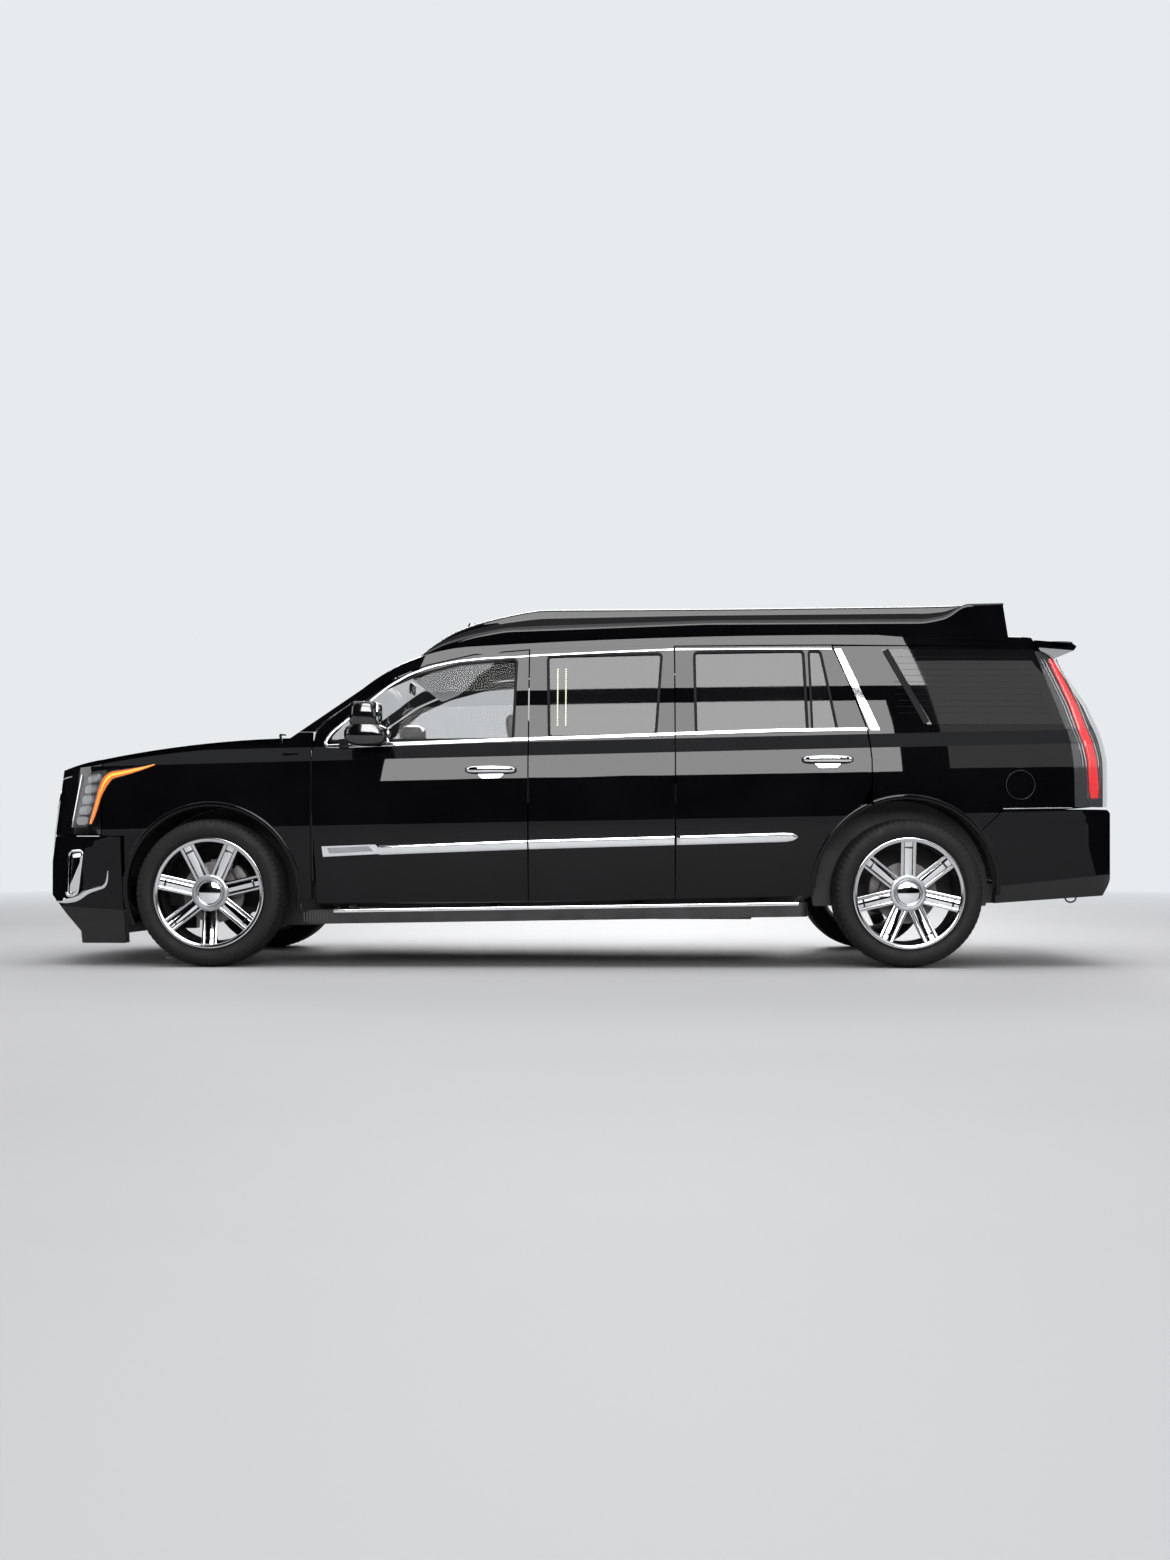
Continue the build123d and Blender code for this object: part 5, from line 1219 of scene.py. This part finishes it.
class LIMO_OT_front(bpy.types.Operator):
    """Make the headlamps, fog lamps, grille brightwork and the bumper's lower line"""

    bl_idname = "limo.front"
    bl_label = "Front end"

    def execute(self, context):
        for use, bits in headlamp_parts().items():
            make(f"headlamp_{use}", both(bits), "lamp_clear" if use == "lens_strip" else use)
        frame_line = [(548, GRILLE_Z[1]), (-548, GRILLE_Z[1]), (-520, GRILLE_Z[0]), (520, GRILLE_Z[0])]
        bits = [front_line(frame_line, 24, 14, 1, True, 46)]
        for k in range(6):
            z = 545 + BAR_PITCH * k
            half = np.interp(z, GRILLE_Z, [498, 524])
            bits.append(front_line([(half, z), (-half, z)], 15, 12, -8))
        make("grille_brightwork", bits, "chrome")
        mesh = []
        for k in range(5):
            z = 579 + BAR_PITCH * k
            half = np.interp(z, GRILLE_Z, [496, 520])
            mesh.append(front_line([(half, z), (-half, z)], 5, 10, -18))
        make("grille_fine_bars", mesh, "gloss_plastic")
        fog_frame = [(2733, 616), (2643, 622), (2683, 386), (2741, 372)]
        fog = [side_band(fog_frame, 15, 12, 1, 26, closed=True, step=9)]
        fog_face = [side_slab([(2722, 604), (2656, 608), (2692, 396), (2732, 386)], -22, -12, 22, 9, 2)]
        make("fog_lamp_frames", both(fog), "chrome")
        make("fog_lamp_faces", both(fog_face), "chrome")
        lower = [(2812, 352), (2745, 350), (2685, 362), (2625, 402), (2566, 418), (2530, 426), (2514, 462),
                 (2508, 512)]
        swoosh = side_band(lower, 26, 12, 0, 26, step=10,
                           widths=[(0, 1.0), (0.3, 1.25), (0.55, 1.0), (0.8, 0.55), (1, 0.2)])
        make("bumper_line", both([swoosh]), "chrome")
        make("bumper_line_front",
             [front_line([(520, 352), (430, 366), (-430, 366), (-520, 352)], 24, 12, 1, radius=60)],
             "chrome")
        mesh = [front_line([(462, z), (-462, z)], 8, 10, -30) for z in (245, 275, 305, 335)]
        make("intake_bars", mesh, "gloss_plastic", "chassis", "black_plastic")
        plate = [front_line([(150, 420), (-150, 420)], 96, 8, 6)]
        make("front_plate_rest", plate, "gloss_plastic")
        return {"FINISHED"}


LAMP_OUTER = [(846, -2826), (1100, -2826), (1256, -2796), (1399, -2736), (1524, -2656), (1665, -2566),
              (1700, -2506)]
LAMP_INNER = [(846, -2647), (1091, -2642), (1246, -2623), (1485, -2537), (1700, -2446)]


def lamp_edge(table, z):
    """X of an edge of the tail lamp at a height."""
    zs, xs = zip(*table)
    return np.interp(z, zs, xs)


def tail_slab(z, near, far, inner_y, inset, thick):
    """A tail-lamp shell: from the edge next to the quarter panel round the outer corner to inner_y.
    near and far shift its two edges; it is thick millimetres, inset inside the skin."""
    z = np.asarray(z, float)
    x_in = lamp_edge(LAMP_INNER, z) + near
    x_out = lamp_edge(LAMP_OUTER, z) + far
    y_in, y_out = side_y(x_in, z) - inset, side_y(x_out, z) - inset

    def line(shrink):
        """The section's wall, drawn in by shrink: side, bend and back."""
        t = np.linspace(0, 1, 8)[:, None]
        side = np.stack([(x_in * (1 - t) + (x_out + 26 + shrink) * t),
                         (y_in * (1 - t) + y_out * t) - shrink], -1)
        turn = np.radians(np.linspace(0, 90, 6))[1:-1, None]
        bend = np.stack([x_out + 26 + shrink - 26 * np.sin(turn),
                         y_out - 26 - shrink + 26 * np.cos(turn)], -1)
        s = np.linspace(0, 1, 4)[:, None]
        back = np.stack([x_out + shrink + 0 * s, (y_out - 26 - shrink) * (1 - s) + inner_y * s], -1)
        return np.concatenate([side, bend, back])

    section = np.concatenate([line(0.0), line(thick)[::-1]])
    pts = np.concatenate([section, np.broadcast_to(z, section.shape[:2])[..., None]], -1)
    return grid(np.transpose(pts, (1, 0, 2)))


class LIMO_OT_rear(bpy.types.Operator):
    """Make the tail lamps, spoiler lamp, plate recess and rear bumper fittings"""

    bl_idname = "limo.rear"
    bl_label = "Rear end"

    def execute(self, context):
        z = np.concatenate([np.linspace(852, 1240, 14), np.linspace(1260, 1692, 20)])
        lens = both([tail_slab(z, 0, 0, 799, 0.5, 5)])
        make("tail_lamp_lens", lens, "lamp_clear", stands_for=("tail_lamps",))
        bed = both([tail_slab(z, -4, 16, 801, 34, 8)])
        make("tail_lamp_bed", bed, "gloss_plastic")
        kinked = [(-2754, 898), (-2748, 1010), (-2742, 1110), (-2712, 1236), (-2660, 1400), (-2604, 1530),
                  (-2552, 1652)]
        path = even(softened(kinked, 30), 10)
        pts = np.stack([path[:, 0], side_y(path[:, 0], path[:, 1]) - 15, path[:, 1]], 1)
        normal = side_normal(path)
        widths = np.interp(np.linspace(0, 1, len(pts)), [0, 0.05, 0.55, 1], [0.8, 1.1, 0.95, 0.55])
        bar = sweep(pts, oval(14, 44, 16, 0.5), normal, np.stack([widths, np.ones_like(widths)], 1))
        make("tail_lamp_bar", both([bar]), "lamp_red")
        fins = []
        for shift, wide in ((-34, 5), (32, 6), (48, 4)):
            line = pts + np.array([shift, 0, 0]) - normal * 6
            fins.append(sweep(line, oval(10, wide, 8, 0.6), normal))
        make("tail_lamp_fins", both(fins), "chrome")
        lamp = crossline(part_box("spoiler")[0].x / MM + 1.0, 170, 1722, 21)
        make("high_brake_lamp", [sweep(lamp, oval(12, 14, 8, 0.5), (-1, 0, 0))], "lamp_red", "tailgate")
        ends = []
        for side in (1, -1):
            y = side * np.array([744.0, 752, 758, 760])
            ring = oval(28, 1, 1, 0.5)
            scale = np.array([1, 0.97, 0.86, 0.6])[:, None]
            pts = np.stack([-2610 + 150 * ring[:, 0] * scale, np.broadcast_to(y[:, None], (4, 28)),
                            1731 + 44 * ring[:, 1] * scale], -1)
            ends.append(grid(pts))
        make("spoiler_ends", ends, "gloss_plastic", "tailgate")
        gate_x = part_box("tailgate")[0].x / MM
        band = crossline(gate_x, 560, 1010, 31)
        band[:, 0] = gate_x + 1 + (band[:, 1] / 790) ** 2 * 34
        make("gate_bright_bar", [sweep(band, oval(14, 26, 14, 0.5), (-1, 0, 0))], "chrome", "tailgate")
        plate = crossline(gate_x + 5.0, 158, 1120, 5)
        make("plate_rest", [sweep(plate, oval(20, 170, 10, 0.25), (-1, 0, 0))], "gloss_plastic", "tailgate")
        ring = np.linspace(0, 2 * np.pi, 36, endpoint=False)
        hoop = np.stack([-2774 + 30 * np.cos(ring), np.full(36, 330.0), 352 + 26 * np.sin(ring)], 1)
        make("tow_ring", [sweep(hoop, oval(10, 9, 9, 1.0), (0, 1, 0), None, True)], "steel_dark")
        # A thin satin metal band along the joint of the quarter panel and the rear bumper: the joint is real,
        # and its bright line is a painted highlight of the joint's rounded edges.
        seam = side_band([(-2262, 842), (-2450, 845), (-2630, 847)], 5, 5, 1, step=20)
        make("bumper_seam_highlight", both([seam]), "satin")
        return {"FINISHED"}


# ---- raised roof ------------------------------------------------------------------------------------
CAP_TOP = [(-2300, 1952), (-1492, 1944), (-781, 1937), (176, 1935), (229, 1930), (335, 1910), (441, 1886),
           (548, 1857), (655, 1818), (750, 1762), (816, 1714), (886, 1652)]
CAP_CREASE = [(-2300, 1948), (-2084, 1944), (-1997, 1878), (-1876, 1853), (-1484, 1852), (-699, 1850),
              (89, 1822), (383, 1812), (560, 1780), (718, 1735), (816, 1690), (886, 1640)]
CAP_CROWN = [(-2300, 10), (300, 10), (655, 16), (816, 32), (886, 64)]
CAP_FOOT = [(-2314, 1757), (-1479, 1768), (-697, 1756), (88, 1735), (224, 1726), (480, 1690), (660, 1640),
            (886, 1540)]


def table_at(table, x):
    """A value read off a table by X, with the corners of the line eased over 60."""
    xs, zs = zip(*table)
    return sum(np.interp(x + d, xs, zs) for d in (-30, -15, 0, 15, 30)) / 5


class LIMO_OT_roof(bpy.types.Operator):
    """Make the raised roof: sections of a wall, a crease and a crowned top, carried along the car"""

    bl_idname = "limo.roof"
    bl_label = "Raised roof"

    def execute(self, context):
        x = np.concatenate([np.linspace(-2300, -1850, 46), np.linspace(-1830, 150, 60),
                            np.linspace(165, 886, 70)])
        top, crease, foot = (table_at(t, x) for t in (CAP_TOP, CAP_CREASE, CAP_FOOT))
        crease = np.minimum(crease, top - 3)
        base = 803 - 33 * (np.clip(x - 500, 0, None) / 386) ** 2
        crown = table_at(CAP_CROWN, x)
        rise = np.clip(top - crease - 24, 0, None)
        rows = [(base - 5, foot), (base - 4, foot + 8), (base, crease - 12), (base + 0.2, crease - 6),
                (base - 0.6, crease - 2.5), (base - 2.2, crease + 0.5), (base - 4.6, crease + 2.4)]
        for t in (0.0, 0.5, 1.0):
            rows.append((base - 6 - 0.36 * rise * t, crease + 4 + rise * t))
        edge = base - 6 - 0.36 * rise
        climb = top - 9 - crease - 4 - rise
        for t in np.linspace(0, 1, 6)[1:]:
            a = t * np.pi / 2
            rows.append((edge - 18 * (1 - np.cos(a)), crease + 4 + rise + climb * np.sin(a)))
        for t in np.linspace(0, 1, 12)[1:]:
            rows.append(((edge - 18) * (1 - t), top - 9 + crown * (1 - (1 - t) ** 2)))
        y = np.stack([r[0] for r in rows], 1)
        z = np.stack([r[1] for r in rows], 1)
        y = np.concatenate([y, -y[:, -2::-1]], 1)
        z = np.concatenate([z, z[:, -2::-1]], 1)
        lean = np.interp(z, [1757, 1885, 1952], [-28, 14, 0]) * np.clip((-2120 - x[:, None]) / 176, 0, 1)
        pts = np.stack([x[:, None] + lean, y, z], -1)
        make("raised_roof_shell", [grid(pts)], "body_paint", stands_for=("raised_roof",), sharp=40)
        ring = oval(20, 1, 1, 0.8)
        fin = np.stack([np.stack([672 - 42 * t + (70 - 34 * t) * ring[:, 0],
                                  ring[:, 1] * (15 - 9 * t), np.full(20, 1820 + 126 * t)], 1)
                        for t in np.linspace(0, 1, 14)])
        make("roof_fin", [grid(fin)], "gloss_plastic")
        for hand, side in SIDES:
            path = np.array([(1600, side * 700, 1252), (1650, side * 560, 1264), (1700, side * 300, 1262),
                             (1720, side * 60, 1256)], float)
            arm = even(softened(path, 60), 20)
            make(f"wiper_{hand}", [sweep(arm, oval(10, 16, 9, 0.7), (0, 0, 1))], "black_plastic")
        return {"FINISHED"}


def hose(points, radius, ribs=0, depth=0.0):
    """A round pipe along a Bezier curve of four points. ribs are waves of its radius by length."""
    t = np.linspace(0, 1, 24 + ribs * 6)[:, None]
    weight = np.concatenate([(1 - t) ** 3, 3 * t * (1 - t) ** 2, 3 * t ** 2 * (1 - t), t ** 3], 1)
    scale = 1 + depth * np.cos(2 * np.pi * ribs * t)
    return sweep(weight @ np.asarray(points, float), oval(20, radius * 2, radius * 2, 1.0),
                 (0, 0, 1), np.repeat(scale, 2, axis=1))


class LIMO_OT_engine_bay(bpy.types.Operator):
    """Make the engine's cover, rails, hoses and caps, the fan shroud, the air box and the battery"""

    bl_idname = "limo.engine_bay"
    bl_label = "Engine bay"

    def execute(self, context):
        cover = [block(1660, 2250, -205, 205, 977, 1022, 14)]
        cover += [block(1700, 2210, y - 12, y + 12, 1016, 1034, 5) for y in range(-165, 166, 55)]
        make("engine_cover", cover, "gloss_plastic", "chassis", "black_plastic")
        bolts = [turned([(-2, 0.01), (-2, 9), (7, 9), (9, 7), (9, 0.01)], (x, side * 257, 1003), "z", 12)
                 for side in (1, -1) for x in range(1600, 2321, 120)]
        make("engine_rails", both([block(1560, 2330, 222, 292, 977, 1004, 8)]) + bolts, "aluminium")
        neck = [(-6, 0.01), (-6, 30), (16, 30), (16, 36), (30, 36), (34, 31), (34, 0.01)]
        caps = [turned(neck, (1780, 257, 1003), "z", 32), turned(neck, (2602, -250, 990), "z", 32)]
        shroud = [block(2524, 2560, -600, 600, 560, 968, 6), block(2553, 2650, -646, 646, 968, 1000, 8)]
        make("fan_shroud", shroud + caps, "black_plastic")
        pipes = [hose([(2235, -110, 1000), (2420, -110, 1030), (2400, -430, 1030), (2580, -430, 985)], 30),
                 hose([(2300, 150, 960), (2430, 150, 960), (2420, 380, 940), (2540, 380, 930)], 24),
                 hose([(2200, 250, 985), (2200, 420, 1040), (2080, 480, 990), (2080, 600, 940)],
                      38, ribs=12, depth=0.07)]
        make("engine_hoses", pipes, "rubber")
        boxes = [block(1830, 2140, 570, 760, 890, 962, 10), block(1842, 2128, 580, 750, 958, 972, 5),
                 block(1850, 2110, -745, -575, 890, 958, 6), block(1846, 2114, -749, -571, 954, 968, 4)]
        make("air_box_and_battery", boxes, "black_plastic")
        posts = [turned([(-4, 0.01), (-4, 10), (9, 9), (9, 0.01)], (x, -600, 968), "z", 20)
                 for x in (1885, 2075)]
        make("battery_posts", posts, "aluminium")
        return {"FINISHED"}


# ---- cabin --------------------------------------------------------------------------------------
def pad(length, width, thick, channels=(), crown=12.0, groove=5.0, waist=0.02, flutes=0):
    """A stuffed pad lying along X: rounded rings whose ends close in, a crowned upper side, sides that
    pull in between the corners, and sewn channels. channels are places along the length, -1 to 1."""
    u = np.sin(np.linspace(-np.pi / 2, np.pi / 2, 56))
    ring = oval(64, 2.0, 2.0, 0.42)
    v, w = ring[:, 0], ring[:, 1]
    shut = (1 - np.abs(u) ** 10) ** 0.35
    shut = np.maximum(shut, 0.04)[:, None]
    narrow = 1 - waist * (1 - u[:, None] ** 2) - 0.10 * np.abs(u[:, None]) ** 14
    upper = np.clip(w, 0, 1)
    height = w * thick / 2 * shut
    height = height + upper * crown * (1 - u[:, None] ** 2) * (1 - v ** 2)
    for place in channels:
        height = height - upper * groove * np.exp(-((u[:, None] - place) * length / 2 / 7) ** 2)
    if flutes:
        ripple = np.abs(np.sin(np.pi * flutes * (v + 1) / 2)) ** 0.6
        inside = (np.abs(v) < 0.72) & (np.abs(u[:, None]) < 0.86)
        height = height - inside * upper * groove * 0.8 * (1 - ripple)
    for seam in (-0.74, 0.74):
        height = (height - upper * groove * np.exp(-((v - seam) * width / 2 / 6) ** 2)
                  * (np.abs(u[:, None]) < 0.93))
    x = np.broadcast_to(u[:, None] * length / 2, height.shape)
    y = v * width / 2 * narrow
    return grid(np.stack([x, np.broadcast_to(y, height.shape), height], -1))


def piping(length, width, thick, waist=0.02):
    """The cord sewn round a pad's upper edge."""
    t = np.linspace(0, 2 * np.pi, 72, endpoint=False)
    x = np.sign(np.cos(t)) * np.abs(np.cos(t)) ** 0.32 * length / 2 * 0.975
    y = np.sign(np.sin(t)) * np.abs(np.sin(t)) ** 0.32 * width / 2 * 0.965
    y = y * (1 - waist * (1 - (2 * x / length) ** 2))
    path = np.stack([x, y, np.full(72, thick * 0.33)], 1)
    return sweep(path, oval(8, 6, 6, 1.0), (0, 0, 1), None, True)


def leaned(bit, place, degrees):
    """A bit lying along X stood up about Y and moved to its place."""
    return moved(tilted(bit, np.zeros(3), (0, 1, 0), degrees), place)


CUSHION_LEAN, BACK_LEAN, HEAD_LEAN = -3.5, 105.5, 94.0       # degrees


def seat_pieces(name, x, y, width, base=500.0):
    """One seat: a padded cushion, back and head rest with piping, on a moulded base and back shell."""
    low, high = np.array([x + 52, y, base + 322.0]), np.array([x - 292, y, base + 618.0])
    head = np.array([x - 378, y, base + 938.0])
    pads = (("cushion", leaned(pad(462, width - 16, 110, (-0.35, 0.25), 14, 5, 0.02, 7), low, CUSHION_LEAN)),
            ("back", leaned(pad(520, width - 28, 92, (-0.2, 0.5), 12, 5, 0.025, 7), high, BACK_LEAN)),
            ("head_rest", leaned(pad(120, width * 0.5, 60, (), 9, 3, 0.03), head, HEAD_LEAN)))
    for part, bit in pads:
        piece = make(f"{name}_{part}", [bit], "leather", sharp=60)
    cords = [leaned(piping(462, width - 16, 110), low, CUSHION_LEAN),
             leaned(piping(520, width - 28, 92), high, BACK_LEAN)]
    make(f"{name}_piping", cords, "cloth")
    frame_bits = [block(x - 230, x + 235, y - width / 2 + 30, y + width / 2 - 30, base + 1, base + 268, 12)]
    shell = pad(560, width - 60, 34, (), 4, 0)
    frame_bits.append(leaned(shell, high + [-62, 0, -2], BACK_LEAN))
    for post in (-60, 60):
        rod = np.array([(x - 352, y + post, base + 840), (x - 372, y + post, base + 905)], float)
        frame_bits.append(sweep(spaced(rod, 20), oval(10, 11, 11, 1.0), (1, 0, 0)))
    make(f"{name}_shell", frame_bits, "black_plastic")


WHEEL_CENTRE = np.array([950.0, 390, 1060])
COLUMN_AXIS = np.array([-0.9135, 0, 0.4067])       # towards the driver
COLUMN_UP = np.array([0.4067, 0, 0.9135])


def wheel_frame(points):
    """Points of the steering wheel's own plane (across, up, towards the driver) placed in the car."""
    p = np.asarray(points, float)
    return WHEEL_CENTRE + p[..., :1] * [0, 1.0, 0] + p[..., 1:2] * COLUMN_UP + p[..., 2:] * COLUMN_AXIS


class LIMO_OT_cabin(bpy.types.Operator):
    """Make the seats, the steering wheel, the dashboard's fittings and the inner mirror"""

    bl_idname = "limo.cabin"
    bl_label = "Cabin"

    def execute(self, context):
        for hand, side in SIDES:
            seat_pieces(f"front_seat_{hand}", 590, side * 390, 520)
            seat_pieces(f"middle_seat_{hand}", -260, side * 430, 560)
            seat_pieces(f"rear_seat_{hand}", -730, side * 370, 620)
        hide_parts("front_seats")
        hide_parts("rear_seats")
        t = np.linspace(0, 2 * np.pi, 96, endpoint=False)
        ring = wheel_frame(np.stack([184 * np.cos(t), 184 * np.sin(t), 0 * t], 1))
        grip = 1 + 0.1 * (np.abs(np.cos(t)) > 0.8)
        rim = sweep(ring, oval(14, 30, 30, 1.0), COLUMN_AXIS, grip[:, None], True)
        make("steering_rim", [rim], "wheel_leather", "steering_wheel", stands_for=("steering_wheel",))
        spokes = []
        for a, b, wide in (((-60, -8), (-176, 4), 40), ((60, -8), (176, 4), 40), ((0, -50), (0, -176), 46)):
            run = np.linspace(0, 1, 8)[:, None]
            line = (1 - run) * np.array([*a, 12.0]) + run * np.array([*b, 0.0])
            spokes.append(sweep(wheel_frame(line), oval(12, wide, 14, 0.6), COLUMN_AXIS))
        make("steering_spokes", spokes, "satin", "steering_wheel")
        levels = np.array([(-30, 0.5), (-22, 0.9), (0, 1.0), (16, 0.96), (24, 0.8), (27, 0.4)])
        plan = oval(40, 150, 122, 0.6)
        hub = np.stack([wheel_frame(np.concatenate([plan * s, np.full((40, 1), h)], 1)) for h, s in levels])
        make("steering_hub", [grid(hub)], "wheel_leather", "steering_wheel")
        outer = even(softened([(1076, 902), (1076, 1079), (1166, 1175), (1290, 1187), (1374, 1114)], 26), 8)
        run = np.gradient(outer, axis=0)
        inward = np.stack([run[:, 1], -run[:, 0]], 1) / np.linalg.norm(run, axis=1, keepdims=True)
        ring = np.concatenate([outer, (outer + inward * 8)[::-1]])
        y = np.array([-792, -788, -400, 0, 400, 788, 792.0])
        swell = np.array([0.985, 1, 1, 1, 1, 1, 0.985])
        centre = ring.mean(0)
        rows = centre + (ring - centre) * swell[:, None, None]
        pts = np.stack([rows[..., 0], np.broadcast_to(y[:, None], rows.shape[:2]), rows[..., 1]], -1)
        make("dashboard_pad", [grid(pts)], "wheel_leather", "chassis", "black_plastic")
        seam = crossline(1168, 780, 1178, 40)
        make("dashboard_seam", [sweep(seam, oval(8, 5, 5, 1.0), (-0.7, 0, 0.7))], "satin")
        screens = [self.slab(-150, 150, 0.08, 0.92, 3, 14), self.slab(262, 518, 0.1, 1.15, 3, 30)]
        make("dashboard_screens", screens, "gloss_plastic")
        vents = [block(1066, 1077, y0 - 62, y0 + 62, z0, z0 + 5, 1) for y0 in (-660, -240, 240, 660)
                 for z0 in (980, 996, 1012, 1028)]
        make("dashboard_vents", vents, "satin")
        mirror = pad(60, 240, 16, (), 3, 0)
        make("inner_mirror", [leaned(mirror, (980, 0, 1560), 84)], "gloss_plastic")
        return {"FINISHED"}

    def slab(self, y0, y1, a, b, low, high):
        """A plate on the dashboard's sloping face, between two parts of the slope."""
        foot, slope, out = np.array([1076, 1079.0]), np.array([90, 96.0]), np.array([-0.73, 0.684])
        ring = np.array([foot + slope * t + out * h for t, h in
                         ((a, low), (b, low), (b, high - 3), (b - 0.04, high), (a + 0.04, high),
                          (a, high - 3))])
        y = np.array([y0, y0 + 4, y1 - 4, y1])
        pts = np.stack([np.broadcast_to(ring[:, 0], (4, 6)), np.broadcast_to(y[:, None], (4, 6)),
                        np.broadcast_to(ring[:, 1], (4, 6))], -1)
        return grid(pts)


class LIMO_PT_panel(bpy.types.Panel):
    """The steps of the limousine, in order"""

    bl_label = "Limousine"
    bl_space_type = "VIEW_3D"
    bl_region_type = "UI"
    bl_category = "Limousine"

    def draw(self, context):
        for operator in OPERATORS:
            self.layout.operator(operator.bl_idname)
        for group in (context.scene.limo_look, context.scene.limo_studio):
            for name in group.bl_rna.properties.keys():
                if name not in ("rna_type", "name"):
                    self.layout.prop(group, name)


OPERATORS = (LIMO_OT_finishes, LIMO_OT_wheels, LIMO_OT_brightwork, LIMO_OT_sides, LIMO_OT_front,
             LIMO_OT_rear, LIMO_OT_roof, LIMO_OT_engine_bay, LIMO_OT_cabin, LIMO_OT_studio)
GROUPS = {"limo_look": LimoLook, "limo_studio": LimoStudio}


def register():
    """Register the settings, the operators and the panel."""
    for name, group in GROUPS.items():
        bpy.utils.register_class(group)
        setattr(bpy.types.Scene, name, PointerProperty(type=group))
    for cls in (*OPERATORS, LIMO_PT_panel):
        bpy.utils.register_class(cls)


def unregister():
    """Take them away again."""
    for cls in (LIMO_PT_panel, *reversed(OPERATORS)):
        bpy.utils.unregister_class(cls)
    for name, group in GROUPS.items():
        delattr(bpy.types.Scene, name)
        bpy.utils.unregister_class(group)


def main():
    """Run every step in order."""
    register()
    for operator in OPERATORS:
        group, name = operator.bl_idname.split(".")
        getattr(getattr(bpy.ops, group), name)()


if __name__ == "__main__":
    main()
